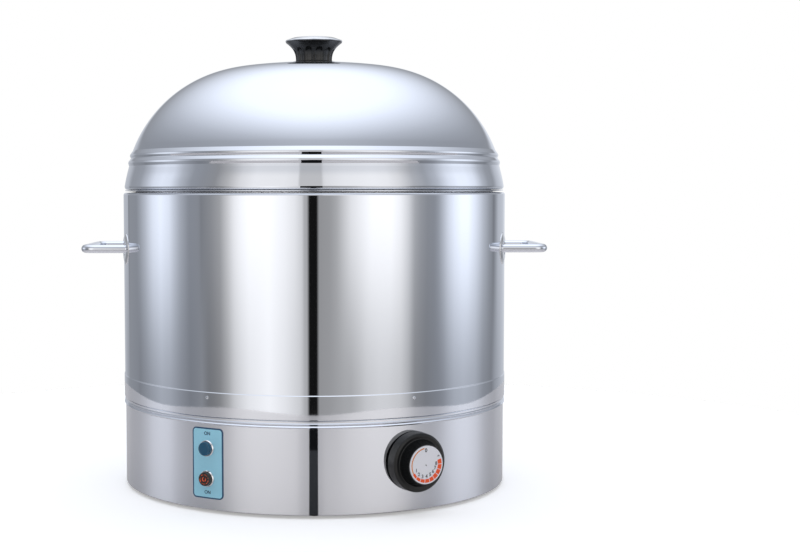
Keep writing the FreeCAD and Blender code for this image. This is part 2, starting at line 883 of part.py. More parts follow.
def make_lid_knob():
    waist = lid_knob_radius * 0.64
    section = [
        (0, knob_seat_top + lid_screw_reach + 1.8),
        (lid_screw + shaft_gap, knob_seat_top + lid_screw_reach + 1.8),
        (lid_screw + shaft_gap, knob_seat_top),
        (waist, knob_seat_top),
        (waist + 0.6, knob_seat_top + 5.0),
        (waist + 1.6, knob_seat_top + 11.8),
        (waist + 3.6, knob_seat_top + 13.6),
        (waist + 4.2, knob_seat_top + 15.2),
        (lid_knob_radius - 1.6, knob_seat_top + 17.6),
        (lid_knob_radius, knob_seat_top + 18.9),
        (lid_knob_radius, knob_top_z),
        (0, knob_top_z),
    ]
    flute = Part.makeCylinder(flute_radius, 14.0, Vector(waist + 2.6, 0, knob_seat_top - 3.4))
    flute = flute.makeChamfer(2.4, [e for e in flute.Edges if e.BoundBox.ZMin > knob_seat_top + 10])
    flutes = round_axis(flute, [(i + 0.5) * 360 / flute_count for i in range(flute_count)])
    return cut_by(turned(section), flutes)


def make_knob_cap():
    rim = lid_knob_radius + 0.6
    section = [
        (0, knob_top_z),
        (rim, knob_top_z),
        (rim, knob_top_z + 0.6),
        (rim - 7.6, knob_top_z + 4.6),
        (0, knob_top_z + 4.6),
    ]
    return turned(section)


knob_washer_radius = 9.0
knob_washer_z = crown_centre_z + wall_reach(crown_radius, knob_washer_radius) - sheet - seat_gap - 1.0


def make_knob_washer():
    ring = Part.makeCylinder(knob_washer_radius, 1.0, Vector(0, 0, knob_washer_z))
    return ring.cut(Part.makeCylinder(screw_hole, 2.0, Vector(0, 0, knob_washer_z - 0.5)))


def make_knob_screw():
    foot = knob_washer_z - 4.0
    head = hexagon(10.0, 4.0, lid_screw / 2, foot)
    length = knob_seat_top + lid_screw_reach - foot
    return joined([head, Part.makeCylinder(lid_screw, length, Vector(0, 0, foot))])


# Every piece under its own name
pieces = {
    "rubber_feet": make_rubber_feet(),
    "foot_screws": make_foot_screws(),
    "foot_nuts": make_foot_nuts(),
    "base_plate": make_base_plate(),
    "base_plate_screws": make_base_plate_screws(),
    "base_housing": make_base_housing(),
    "terminal_block": make_terminal_block(),
    "earth_stud": make_earth_stud(),
    "cable_gland": make_cable_gland(),
    "gland_nut": make_gland_nut(),
    "label_plate": make_label_plate(),
    "lamp_bezels": make_lamp_bezels(),
    "blue_lamp_lens": make_lens(0),
    "red_lamp_lens": make_lens(1),
    "lamp_bodies": make_lamp_bodies(),
    "lamp_nuts": make_lamp_nuts(),
    "thermostat_body": make_thermostat_body(),
    "thermostat_screws": make_thermostat_screws(),
    "thermostat_shaft": make_thermostat_shaft(),
    "control_knob": make_control_knob(),
    "dial_plate": make_dial_plate(),
    "sensing_bulb": make_sensing_bulb(),
    "capillary_tube": make_capillary_tube(),
    "bulb_clip": make_bulb_clip(),
    "heater_plate": make_heater_plate(),
    "heater_clamp": make_heater_clamp(),
    "heater_stud": make_heater_stud(),
    "heater_nut": make_heater_nut(),
    "outer_shell": make_outer_shell(),
    "shell_rivets": make_shell_rivets(),
    "inner_vessel": make_inner_vessel(),
    "handle_left": make_handle(-1),
    "handle_right": make_handle(1),
    "handle_washers": make_handle_washers(),
    "handle_nuts": make_handle_nuts(),
    "steam_tray": make_steam_tray(),
    "tray_legs": make_tray_legs(),
    "tray_handle": make_tray_handle(),
    "lid_shell": make_lid_shell(),
    "knob_seat": make_knob_seat(),
    "lid_knob": make_lid_knob(),
    "knob_cap": make_knob_cap(),
    "knob_washer": make_knob_washer(),
    "knob_screw": make_knob_screw(),
}

os.makedirs("parts", exist_ok=True)
for name, shape in pieces.items():
    shape.exportStep("parts/" + name + ".step")
    size = shape.BoundBox
    print(name, len(shape.Solids), shape.isValid(), round(shape.Volume),
          [round(v, 1) for v in (size.XMin, size.XMax, size.YMin, size.YMax, size.ZMin, size.ZMax)])
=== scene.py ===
import math

import bmesh
import bpy
from mathutils import Matrix, Vector


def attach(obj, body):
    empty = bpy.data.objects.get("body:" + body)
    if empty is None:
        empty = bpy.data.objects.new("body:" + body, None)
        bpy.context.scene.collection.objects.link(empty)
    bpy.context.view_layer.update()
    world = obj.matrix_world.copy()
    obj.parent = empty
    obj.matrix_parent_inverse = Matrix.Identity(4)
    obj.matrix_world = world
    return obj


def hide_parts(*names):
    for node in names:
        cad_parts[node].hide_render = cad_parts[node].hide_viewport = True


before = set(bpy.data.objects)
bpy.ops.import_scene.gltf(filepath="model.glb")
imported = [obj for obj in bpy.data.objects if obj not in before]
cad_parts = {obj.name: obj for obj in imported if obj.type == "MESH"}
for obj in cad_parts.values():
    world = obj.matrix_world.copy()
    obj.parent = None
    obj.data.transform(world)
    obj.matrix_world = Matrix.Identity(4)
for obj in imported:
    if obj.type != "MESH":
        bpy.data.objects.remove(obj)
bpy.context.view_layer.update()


# Lid. One sheet of stainless steel, spun to a dome of two tangent arcs, with two rolled beads
# and a flared skirt. The skirt is turned in to a flat seat and ends in a spigot that drops
# inside the vessel. The outside is mirror polished.
MM = 0.001
SHEET = 0.8
CROWN_RADIUS = 548.0
SHOULDER_RADIUS = 129.0
SHOULDER_END = math.radians(67.0)
NECK_RADIUS = 178.5
NECK_HEIGHT = 334.5
LID_SEAT = 291.2
SPIGOT_RADIUS = 176.2
SPIGOT_END = 283.0
SCREW_HOLE = 3.2
CROWN_STEPS = 20
SHOULDER_STEPS = 48


def rounded(corners, closed=True):
    """Outline of radius and height pairs: each corner (r, z, fillet) becomes an arc."""
    turn = math.radians(9)
    points = []
    count = len(corners)
    for i, corner in enumerate(corners):
        here = Vector(corner[:2])
        fillet = corner[2] if len(corner) > 2 else 0.0
        end = not closed and i in (0, count - 1)
        if fillet <= 0 or end:
            points.append(tuple(here))
            continue
        before = (Vector(corners[i - 1][:2]) - here).normalized()
        after = (Vector(corners[(i + 1) % count][:2]) - here).normalized()
        half = before.angle(after) / 2
        centre = here + (before + after).normalized() * (fillet / math.sin(half))
        first = here + before * (fillet / math.tan(half)) - centre
        last = here + after * (fillet / math.tan(half)) - centre
        sweep = first.angle_signed(last)
        steps = max(4, math.ceil(abs(sweep) / turn))
        for k in range(steps + 1):
            points.append(tuple(centre + Matrix.Rotation(-sweep * k / steps, 2) @ first))
    return points


def beside(line, distance):
    """Points of a line moved sideways, to the right of its direction."""
    moved = []
    for i, point in enumerate(line):
        before = Vector(line[max(i - 1, 0)])
        after = Vector(line[min(i + 1, len(line) - 1)])
        along = (after - before).normalized()
        moved.append((point[0] + along.y * distance, point[1] - along.x * distance))
    return moved


def build(name, shape, body, nodes, material, place=None):
    """Smooth piece in metres from points in millimetres and faces. It rides on a body of the
    frame, takes the place of nodes there, and may be stood at a place."""
    points, faces = shape
    crease = 35.0
    mesh = bpy.data.meshes.new(name)
    mesh.from_pydata([tuple(c * MM for c in point) for point in points], [], faces)
    welded = bmesh.new()
    welded.from_mesh(mesh)
    bmesh.ops.remove_doubles(welded, verts=welded.verts, dist=1e-6)
    bmesh.ops.dissolve_degenerate(welded, edges=welded.edges, dist=1e-6)
    bmesh.ops.recalc_face_normals(welded, faces=welded.faces)
    welded.to_mesh(mesh)
    welded.free()
    mesh.shade_smooth()
    mesh.set_sharp_from_angle(angle=math.radians(crease))
    piece = bpy.data.objects.new(name, mesh)
    bpy.context.scene.collection.objects.link(piece)
    piece.modifiers.new("flat_walls", "WEIGHTED_NORMAL").keep_sharp = True
    if place:
        piece.matrix_world = place
    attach(piece, body)
    if nodes:
        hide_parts(*nodes)
    mesh.materials.append(material)
    return piece


def turned(outline, segments=256):
    """Points and faces of a closed outline turned about the upright axis."""
    points = []
    faces = []
    size = len(outline)
    for s in range(segments):
        angle = 2 * math.pi * s / segments
        points += [(r * math.sin(angle), -r * math.cos(angle), z) for r, z in outline]
        here = s * size
        there = ((s + 1) % segments) * size
        for i in range(size):
            j = (i + 1) % size
            faces.append((here + i, here + j, there + j, there + i))
    return points, faces


def linear(code):
    """Linear colour from an sRGB hex value."""
    channels = [int(code[i:i + 2], 16) / 255 for i in (1, 3, 5)]
    return [c / 12.92 if c <= 0.04045 else ((c + 0.055) / 1.055) ** 2.4 for c in channels] + [1.0]


def add(tree, kind, sources=None, **settings):
    """Adds a shader node. Its sources are outputs or values for inputs, by name or number, and a
    keyword sets an input or a property."""
    node = tree.nodes.new("ShaderNode" + kind)
    for key, value in settings.items():
        if key in node.inputs:
            node.inputs[key].default_value = value
        else:
            setattr(node, key, value)
    for key, source in (sources or {}).items():
        if isinstance(source, bpy.types.NodeSocket):
            tree.links.new(source, node.inputs[key])
        else:
            node.inputs[key].default_value = source
    return node


def new_material(name):
    """Empty node material, and the tree to build it in."""
    material = bpy.data.materials.new(name)
    material.use_nodes = True
    material.node_tree.nodes.clear()
    return material, material.node_tree


def polished_steel(name, colour, roughness, wave_depth):
    """Mirror-polished stainless steel."""
    material, tree = new_material(name)
    place = add(tree, "TexCoord").outputs["Object"]
    # The polishing wheel leaves lines round the piece, 0.4 mm apart and too fine to show, so
    # they are drawn 1.5 mm apart and only as a slight change of roughness.
    stretch = add(tree, "Mapping", {"Vector": place}, Scale=(60.0, 60.0, 650.0))
    lines = add(tree, "TexNoise", {"Vector": stretch.outputs[0]}, Scale=1.0, Detail=3.0)
    rough = add(tree, "MapRange", {"Value": lines.outputs["Fac"], "To Min": roughness * 0.7,
                                   "To Max": roughness * 1.3})
    # Spun sheet is never quite even: slow waves about 90 mm long bend its reflections a little.
    slow = add(tree, "TexNoise", {"Vector": place}, Scale=11.0, Detail=1.0)
    waves = add(tree, "Bump", {"Height": slow.outputs["Fac"]}, Strength=1.0, Distance=wave_depth)
    shader = add(tree, "BsdfPrincipled", {"Base Color": linear(colour), "Normal": waves.outputs[0],
                                          "Roughness": rough.outputs[0]}, Metallic=1.0)
    add(tree, "OutputMaterial", {"Surface": shader.outputs[0]})
    return material


def dome_line():
    """Outer line of the dome from the screw hole to the neck."""
    centre_r = NECK_RADIUS - SHOULDER_RADIUS * math.sin(SHOULDER_END)
    centre_z = NECK_HEIGHT - SHOULDER_RADIUS * math.cos(SHOULDER_END)
    offset = CROWN_RADIUS - SHOULDER_RADIUS
    join = math.asin(centre_r / offset)
    crown_z = centre_z - offset * math.cos(join)
    points = []
    first = math.asin(SCREW_HOLE / CROWN_RADIUS)
    for k in range(CROWN_STEPS):
        angle = first * (1 - k / CROWN_STEPS) + join * k / CROWN_STEPS
        points.append((CROWN_RADIUS * math.sin(angle), crown_z + CROWN_RADIUS * math.cos(angle)))
    for k in range(SHOULDER_STEPS + 1):
        angle = join + (SHOULDER_END - join) * k / SHOULDER_STEPS
        points.append((centre_r + SHOULDER_RADIUS * math.sin(angle),
                       centre_z + SHOULDER_RADIUS * math.cos(angle)))
    return points


beads_and_skirt = rounded([
    dome_line()[-1],
    (180.4, 329.8, 0.5),
    (183.1, 326.0, 1.2),
    (183.4, 324.4, 0.8),
    (182.4, 322.2, 0.9),
    (184.8, 319.0, 1.2),
    (185.1, 317.2, 1.0),
    (184.3, 314.6, 0.5),
    (184.9, 312.2, 3.0),
    (187.2, 303.5, 120.0),
    (188.85, 294.5, 0.8),
    (188.6, 293.0, 0.8),
    (187.4, 291.6, 0.3),
    (182.5, LID_SEAT, 0.4),
    (SPIGOT_RADIUS, LID_SEAT, 0.6),
    (SPIGOT_RADIUS, SPIGOT_END),
], closed=False)
lid_outside = dome_line()[:-1] + beads_and_skirt
lid_walls = lid_outside + beside(lid_outside, SHEET)[::-1]
mirror_steel = polished_steel("mirror_polished_stainless_steel", "#E5E9F1", 0.03, 0.00002)
build("lid", turned(lid_walls), "lid", ["lid_shell"], mirror_steel)


# Lid knob. One black phenolic moulding, drawn in to a waist with twelve hollow arches between
# its ribs, and flared to a collar. It stands on a thin seat disc of the same plastic.
KNOB_SEAT_TOP = 419.0
KNOB_TOP = 438.4
KNOB_RADIUS = 28.0
KNOB_WAIST = 18.0
KNOB_HOLE = 3.1
FLARE_HEIGHT = 18.2
FLARE_STEPS = 12
ARCHES = 12
ARCH_TOP = 12.4
ARCH_DROP = 4.0
ARCH_DEPTH = 1.3


def subdivided(outline, longest):
    """The same closed outline with points no further apart than a length."""
    points = []
    for i, here in enumerate(outline):
        after = outline[(i + 1) % len(outline)]
        count = max(1, math.ceil(math.dist(here, after) / longest))
        for k in range(count):
            points.append((here[0] + (after[0] - here[0]) * k / count,
                           here[1] + (after[1] - here[1]) * k / count))
    return points


def smooth_step(low, high, value):
    """Rises smoothly from 0 at the low end to 1 at the high end."""
    share = min(max((value - low) / (high - low), 0.0), 1.0)
    return share * share * (3 - 2 * share)


def carve(points, depth):
    """Draws turned points in towards the axis by depth(angle, radius, height)."""
    carved = []
    for x, y, z in points:
        radius = math.hypot(x, y)
        scale = 1.0 if radius < 0.1 else 1 - depth(math.atan2(x, -y), radius, z) / radius
        carved.append((x * scale, y * scale, z))
    return carved


def arch_depth(angle, radius, z):
    """How deep the arches are: 0 on a rib, and round at the top."""
    across = abs((angle * ARCHES / (2 * math.pi)) % 1.0 - 0.5) * 2
    top = ARCH_TOP - ARCH_DROP * (1 - math.sqrt(max(0.0, 1 - min(1.0, across / 0.7) ** 2)))
    inside = smooth_step(0.80, 0.45, across) * smooth_step(top + 0.8, top - 1.6, z - KNOB_SEAT_TOP)
    return ARCH_DEPTH * inside * smooth_step(14.0, 16.0, radius)


def phenolic(name, colour, roughness, shine=0.5):
    """Compression-moulded phenolic, from glossy to matt."""
    material, tree = new_material(name)
    place = add(tree, "TexCoord").outputs["Object"]
    # Handling leaves duller patches about 8 mm wide in the moulded surface.
    patches = add(tree, "TexNoise", {"Vector": place}, Scale=120.0, Detail=4.0)
    rough = add(tree, "MapRange", {"Value": patches.outputs["Fac"], "To Min": roughness * 0.7,
                                   "To Max": roughness * 1.5})
    # The wood flour in the resin shows as a grain of 0.5 mm, a little lighter than the ground.
    flour = add(tree, "TexNoise", {"Vector": place}, Scale=2000.0, Detail=2.0)
    ground = add(tree, "Mix", {0: flour.outputs["Fac"], 6: linear(colour),
                               7: [c * 1.8 + 0.004 for c in linear(colour)[:3]] + [1]},
                 data_type="RGBA")
    skin = add(tree, "Bump", {"Height": patches.outputs["Fac"]}, Strength=0.3, Distance=0.0002)
    shader = add(tree, "BsdfPrincipled", {"Base Color": ground.outputs[2], "Normal": skin.outputs[0],
                                          "Roughness": rough.outputs[0],
                                          "Specular IOR Level": shine}, IOR=1.55)
    add(tree, "OutputMaterial", {"Surface": shader.outputs[0]})
    return material


black_phenolic = phenolic("black_moulded_phenolic", "#121314", 0.22)
flare = []
for k in range(FLARE_STEPS + 1):
    part = k / FLARE_STEPS
    flare.append((KNOB_WAIST + (KNOB_RADIUS - KNOB_WAIST) * part ** 2.6,
                  KNOB_SEAT_TOP + 0.3 + FLARE_HEIGHT * part))
knob_outline = rounded([(KNOB_HOLE, KNOB_SEAT_TOP), (KNOB_WAIST, KNOB_SEAT_TOP)] + flare + [
    (KNOB_RADIUS, KNOB_TOP - 0.8),
    (KNOB_RADIUS, KNOB_TOP),
    (KNOB_HOLE, KNOB_TOP),
])
knob_points, knob_faces = turned(subdivided(knob_outline, 0.7), 288)
build("lid_knob_moulding", (carve(knob_points, arch_depth), knob_faces), "lid", ["lid_knob"],
      black_phenolic)

seat_outline = rounded([
    (3.3, 417.5),
    (27.5, 416.75),
    (27.5, 417.4, 0.3),
    (19.5, KNOB_SEAT_TOP, 4.0),
    (3.3, KNOB_SEAT_TOP),
])
build("lid_knob_seat", turned(seat_outline, 160), "lid", ["knob_seat"],
      phenolic("dull_black_phenolic", "#17181A", 0.55))


# Knob cap. A pressed disc, chrome plated and pushed on over the collar. It hides the moulding's
# top and catches the light as the brightest edge of the lid.
def plated_trim(name, colour, roughness):
    """Bright chrome plate over pressed steel."""
    material, tree = new_material(name)
    place = add(tree, "TexCoord").outputs["Object"]
    # Wiping leaves faint marks about 3 mm long, seen only as a change of gloss.
    marks = add(tree, "TexNoise", {"Vector": place}, Scale=330.0, Detail=5.0)
    rough = add(tree, "MapRange", {"Value": marks.outputs["Fac"], "To Min": roughness * 0.5,
                                   "To Max": roughness * 1.6})
    shader = add(tree, "BsdfPrincipled", {"Base Color": linear(colour),
                                          "Roughness": rough.outputs[0]}, Metallic=1.0)
    add(tree, "OutputMaterial", {"Surface": shader.outputs[0]})
    return material


bright_chrome = plated_trim("bright_chrome_plate", "#F2F3F5", 0.07)
cap_outline = rounded([
    (0.0, KNOB_TOP),
    (28.2, KNOB_TOP),
    (28.6, KNOB_TOP + 0.5, 0.3),
    (28.0, KNOB_TOP + 1.3, 0.6),
    (21.0, KNOB_TOP + 3.8, 7.0),
    (0.0, KNOB_TOP + 4.2),
])
build("lid_knob_cap", turned(cap_outline, 224), "lid", ["knob_cap"], bright_chrome)


# Body shell. Rolled and seam-welded stainless sheet, mirror polished. Its top corner is pressed
# round, a ledge is swaged near the bottom, and the lower edge is curled in over the housing.
SHELL_RADIUS = 190.0
LEDGE_RADIUS = 190.6
shell_outside = rounded([
    (178.1, 289.1),
    (186.6, 288.55, 0.6),
    (SHELL_RADIUS, 288.5, 2.5),
    (SHELL_RADIUS, 110.2, 0.5),
    (LEDGE_RADIUS, 109.5, 0.5),
    (LEDGE_RADIUS, 88.2, 0.6),
    (189.9, 87.8, 0.2),
    (186.2, 88.1),
], closed=False)
shell_walls = shell_outside + beside(shell_outside, SHEET)[::-1]
build("body_shell", turned(shell_walls, 320), "steamer_body", ["outer_shell"],
      mirror_steel)


# Base housing. A mirror-polished band of the same sheet, with two small beads rolled round it
# under the body shell. Its neck goes up inside the shell, and its hem is turned in at the table.
HOUSING_RADIUS = 189.4
NECK_TOP = 108.8
housing_outside = rounded([
    (165.0, NECK_TOP),
    (189.7, NECK_TOP, 1.0),
    (189.7, 100.8, 1.0),
    (187.2, 87.3, 0.2),
    (189.6, 87.3, 0.3),
    (189.6, 85.6, 0.2),
    (190.3, 84.6, 0.3),
    (190.2, 84.2, 0.3),
    (188.8, 83.8, 0.2),
    (189.6, 83.1, 0.2),
    (190.7, 81.9, 0.3),
    (190.5, 81.5, 0.3),
    (HOUSING_RADIUS, 80.9, 0.4),
    (HOUSING_RADIUS, 3.0, 1.0),
    (170.0, 3.0),
], closed=False)
housing_walls = housing_outside + beside(housing_outside, SHEET)[::-1]
build("base_housing_band", turned(housing_walls, 320), "steamer_body", ["base_housing"],
      mirror_steel)


# Vessel. A deep stainless bowl with a welded floor, satin inside. Its rolled rim carries the lid
# and closes the gap to the body shell, and the rim's edge is polished to a bright line.
VESSEL_RADIUS = 178.0
VESSEL_BORE = 177.2
RIM_EDGE = 187.2
RIM_UNDERSIDE = 289.2


def satin_steel(name, colour, roughness):
    """Satin stainless steel, brushed round the piece."""
    material, tree = new_material(name)
    place = add(tree, "TexCoord").outputs["Object"]
    # Brush lines 0.2 mm apart, drawn 0.8 mm apart so that they show as a soft, streaky sheen
    stretch = add(tree, "Mapping", {"Vector": place}, Scale=(25.0, 25.0, 1250.0))
    lines = add(tree, "TexNoise", {"Vector": stretch.outputs[0]}, Scale=1.0, Detail=4.0)
    rough = add(tree, "MapRange", {"Value": lines.outputs["Fac"], "To Min": roughness * 0.75,
                                   "To Max": roughness * 1.3})
    grain = add(tree, "Bump", {"Height": lines.outputs["Fac"]}, Strength=0.25, Distance=0.0002)
    shader = add(tree, "BsdfPrincipled", {"Base Color": linear(colour), "Normal": grain.outputs[0],
                                          "Roughness": rough.outputs[0]}, Metallic=1.0)
    add(tree, "OutputMaterial", {"Surface": shader.outputs[0]})
    return material


satin = satin_steel("satin_stainless_steel", "#DADCE0", 0.30)
vessel_line = rounded([
    (0.0, NECK_TOP),
    (VESSEL_RADIUS, NECK_TOP, 8.0),
    (VESSEL_RADIUS, 289.5),
    (188.3, 290.1, 0.3),
    (188.3, 290.98, 0.35),
    (VESSEL_BORE, 290.9, 1.2),
    (VESSEL_BORE, NECK_TOP + SHEET, 7.2),
    (0.0, NECK_TOP + SHEET),
], closed=False)
vessel = build("vessel_bowl", turned(vessel_line), "steamer_body", ["inner_vessel"],
               satin)


def second_finish(piece, material, chosen):
    """Gives the faces that a test chooses by their middle, in millimetres, another finish."""
    piece.data.materials.append(material)
    for face in piece.data.polygons:
        if chosen(face.center / MM):
            face.material_index = len(piece.data.materials) - 1


second_finish(vessel, mirror_steel,
              lambda middle: middle.z > RIM_UNDERSIDE and middle.xy.length > RIM_EDGE)


# Side handles. Two U-shaped rods of 8 mm stainless, bent cold and polished, whose legs pass
# through domed washers and the wall to nuts inside.
ROD_RADIUS = 4.0
HANDLE_HEIGHT = 234.0
HANDLE_TIP = 224.0
HANDLE_BEND = 10.0
LEG_END = 174.5
LEG_OFFSET = 50.0


def swept(line, radius):
    """Points and faces of a round rod along a line of points that lies in one plane."""
    segments = 40
    points = []
    faces = []
    normal = (line[1] - line[0]).cross(line[-1] - line[len(line) // 2]).normalized()
    for i, centre in enumerate(line):
        along = (line[min(i + 1, len(line) - 1)] - line[max(i - 1, 0)]).normalized()
        side = along.cross(normal).normalized()
        for k in range(segments):
            turn = 2 * math.pi * k / segments
            points.append(tuple(centre + side * radius * math.cos(turn)
                                + normal * radius * math.sin(turn)))
        if i:
            here = i * segments
            for k in range(segments):
                after = (k + 1) % segments
                faces.append((here - segments + k, here - segments + after, here + after, here + k))
    faces.append(tuple(range(segments))[::-1])
    faces.append(tuple(range(len(points) - segments, len(points))))
    return points, faces


def bent(corners, bend):
    """Line through corners in space, each inner corner rounded by an arc."""
    turn = math.radians(6)
    line = [Vector(corners[0])]
    for before, here, after in zip(corners, corners[1:], corners[2:]):
        back = (Vector(before) - Vector(here)).normalized()
        on = (Vector(after) - Vector(here)).normalized()
        half = back.angle(on) / 2
        centre = Vector(here) + (back + on).normalized() * (bend / math.sin(half))
        first = Vector(here) + back * (bend / math.tan(half)) - centre
        last = Vector(here) + on * (bend / math.tan(half)) - centre
        steps = math.ceil(first.angle(last) / turn)
        for k in range(steps + 1):
            line.append(centre + first.slerp(last, k / steps) * bend)
    return line + [Vector(corners[-1])]


for side, word in ((-1, "left"), (1, "right")):
    corners = [(side * reach, y, HANDLE_HEIGHT)
               for reach, y in ((LEG_END, -LEG_OFFSET), (HANDLE_TIP, -LEG_OFFSET),
                                (HANDLE_TIP, LEG_OFFSET), (LEG_END, LEG_OFFSET))]
    build("handle_rod_" + word, swept(bent(corners, HANDLE_BEND), ROD_RADIUS), "steamer_body",
          ["handle_" + word], mirror_steel)


# Handle washers. Four pressed and chrome-plated discs with a soft edge, bent to the round wall.
# One sits under each leg of a handle and takes its pull.
WALL_GAP = 0.04


def stood_on_wall(azimuth, height, radius):
    """Place on the round wall, in metres: local Z points outward and local Y upward."""
    turn = math.radians(azimuth)
    outward = Vector((math.sin(turn), -math.cos(turn), 0))
    sideways = Vector((math.cos(turn), math.sin(turn), 0))
    place = Matrix((sideways, Vector((0, 0, 1)), outward)).transposed().to_4x4()
    place.translation = (outward * radius + Vector((0, 0, height))) * MM
    return place


def stood(points, place):
    """Points in millimetres moved to a place on the object."""
    return [tuple(place @ (Vector(point) * MM) / MM) for point in points]


washer_outline = rounded([
    (5.0, 0.0),
    (15.5, 0.0),
    (15.5, 0.5, 0.3),
    (11.0, 1.5, 2.0),
    (6.6, 1.5, 0.5),
    (5.4, 0.9, 0.3),
    (5.0, 0.3),
])
washer_faces = []
washer_points = []
for side in (-1, 1):
    for y in (-LEG_OFFSET, LEG_OFFSET):
        azimuth = math.degrees(math.atan2(side * math.sqrt(SHELL_RADIUS ** 2 - y ** 2), -y))
        start = len(washer_points)
        points, faces = turned(washer_outline, 96)
        # Each disc is bent to the shell's radius
        points = [(x, y_up, z - SHELL_RADIUS + math.sqrt(SHELL_RADIUS ** 2 - x ** 2))
                  for x, y_up, z in points]
        place = stood_on_wall(azimuth, HANDLE_HEIGHT, SHELL_RADIUS + WALL_GAP)
        washer_points += stood(points, place)
        washer_faces += [tuple(start + i for i in face) for face in faces]
build("handle_washer_discs", (washer_points, washer_faces), "steamer_body", ["handle_washers"],
      bright_chrome)


# Shell rivets. Six small round-headed rivets of polished steel hold the shell to the housing's
# neck, just below the swaged ledge.
RIVET_HEIGHT = 105.1
RIVET_AZIMUTHS = (-147, -90, -30.4, 27.9, 90, 147)
rivet_outline = rounded([(0.0, 0.0), (1.5, 0.0), (1.5, 0.2, 0.1), (1.0, 0.55, 0.4), (0.0, 0.6)])
rivet_points = []
rivet_faces = []
for azimuth in RIVET_AZIMUTHS:
    start = len(rivet_points)
    points, faces = turned(rivet_outline, 48)
    rivet_points += stood(points, stood_on_wall(azimuth, RIVET_HEIGHT, LEDGE_RADIUS))
    rivet_faces += [tuple(start + i for i in face) for face in faces]
build("shell_rivet_heads", (rivet_points, rivet_faces), "steamer_body", ["shell_rivets"],
      mirror_steel)


# Label panel. A light blue plastic film with a dark blue border, bonded to the housing round
# the two lamps. A generic ON stands over one lamp and under the other.
LABEL_AZIMUTH = -30.6
LABEL_HEIGHT = 45.4
LABEL_WIDTH = 33.0
LABEL_TALL = 64.4
LABEL_CORNER = 4.0
LABEL_BORDER = 1.25
CORNER_STEPS = 8
COLUMNS = 28


def film(name, colour, roughness):
    """Screen-printed polycarbonate film with a fine satin texture."""
    material, tree = new_material(name)
    place = add(tree, "TexCoord").outputs["Object"]
    # Film texture of 0.1 mm grains, drawn at 0.6 mm
    grains = add(tree, "TexNoise", {"Vector": place}, Scale=1700.0, Detail=2.0)
    cloud = add(tree, "TexNoise", {"Vector": place}, Scale=60.0, Detail=2.0)
    shade = linear(colour)
    ink = add(tree, "Mix", {0: cloud.outputs["Fac"], 6: [c * 0.94 for c in shade[:3]] + [1],
                            7: [min(1.0, c * 1.06) for c in shade[:3]] + [1]}, data_type="RGBA")
    skin = add(tree, "Bump", {"Height": grains.outputs["Fac"]}, Strength=0.2, Distance=0.0001)
    shader = add(tree, "BsdfPrincipled", {"Base Color": ink.outputs[2], "Normal": skin.outputs[0]},
                 Roughness=roughness, IOR=1.58)
    add(tree, "OutputMaterial", {"Surface": shader.outputs[0]})
    return material


def label_sheet(inset, low, high):
    """Rounded rectangle of film bent round the housing, between two heights above its wall."""
    half = LABEL_WIDTH / 2 - inset
    tall = LABEL_TALL / 2 - inset
    corner = LABEL_CORNER - inset
    bow = [-half + corner * (1 - math.cos(math.pi / 2 * k / CORNER_STEPS))
           for k in range(CORNER_STEPS)]
    flat = [-half + corner + (2 * half - 2 * corner) * k / COLUMNS for k in range(COLUMNS + 1)]
    across = bow + flat + [-x for x in bow[::-1]]
    points = []
    for radius in (HOUSING_RADIUS + low, HOUSING_RADIUS + high):
        for x in across:
            over = max(0.0, abs(x) - (half - corner))
            top = tall - corner + math.sqrt(max(0.0, corner ** 2 - over ** 2))
            turn = math.radians(LABEL_AZIMUTH) + x / HOUSING_RADIUS
            for z in (LABEL_HEIGHT - top, LABEL_HEIGHT + top):
                points.append((radius * math.sin(turn), -radius * math.cos(turn), z))
    size = 2 * len(across)
    faces = []
    for i in range(0, size - 2, 2):
        faces.append((size + i, size + i + 1, size + i + 3, size + i + 2))
        faces.append((i, i + 1, i + 3, i + 2))
        faces.append((i, i + 2, size + i + 2, size + i))
        faces.append((i + 1, i + 3, size + i + 3, size + i + 1))
    faces.append((0, 1, size + 1, size))
    faces.append((size - 2, size - 1, 2 * size - 1, 2 * size - 2))
    return points, faces


build("label_border", label_sheet(0.0, 0.02, 0.46), "steamer_body", ["label_plate"],
      film("navy_printed_film", "#1D4E74", 0.4))
build("label_film_panel", label_sheet(LABEL_BORDER, 0.05, 0.5), "steamer_body", ["label_plate"],
      film("light_blue_printed_film", "#A4E2FA", 0.4))


def printed(name, text, size, place, body, material):
    """Printed characters as a thin raised film, centred on a place on the object."""
    curve = bpy.data.curves.new(name, "FONT")
    curve.body = text
    curve.size = size * MM
    curve.extrude = 0.02 * MM
    curve.offset = 0.03 * size * MM
    curve.align_x = "CENTER"
    curve.align_y = "CENTER"
    curve.materials.append(material)
    piece = bpy.data.objects.new(name, curve)
    bpy.context.scene.collection.objects.link(piece)
    piece.matrix_world = place
    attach(piece, body)


navy_ink = film("navy_screen_ink", "#1C4468", 0.45)
for name, height in (("label_on_upper", 72.4), ("label_on_lower", 18.9)):
    place = stood_on_wall(LABEL_AZIMUTH, height, HOUSING_RADIUS + 0.53)
    printed(name, "ON", 4.2, place, "steamer_body", navy_ink)


# Pilot lamps. Chrome bezels hold flat moulded lenses: dark blue above, and below a brown-red
# one whose neon shows as an orange glow. Both push into holes in the housing.
LENS_RADIUS = 6.2
lens_outline = rounded([
    (0.0, 0.3),
    (LENS_RADIUS, 0.3),
    (LENS_RADIUS, 5.4, 0.9),
    (LENS_RADIUS - 0.9, 5.8, 0.3),
    (LENS_RADIUS - 1.6, 5.5, 0.3),
    (0.0, 5.5),
])
bezel_outline = rounded([
    (LENS_RADIUS + 0.1, 0.0),
    (LENS_RADIUS + 1.5, 0.0),
    (LENS_RADIUS + 1.5, 1.4, 0.6),
    (LENS_RADIUS + 0.8, 2.4, 0.4),
    (LENS_RADIUS + 0.1, 2.2),
])


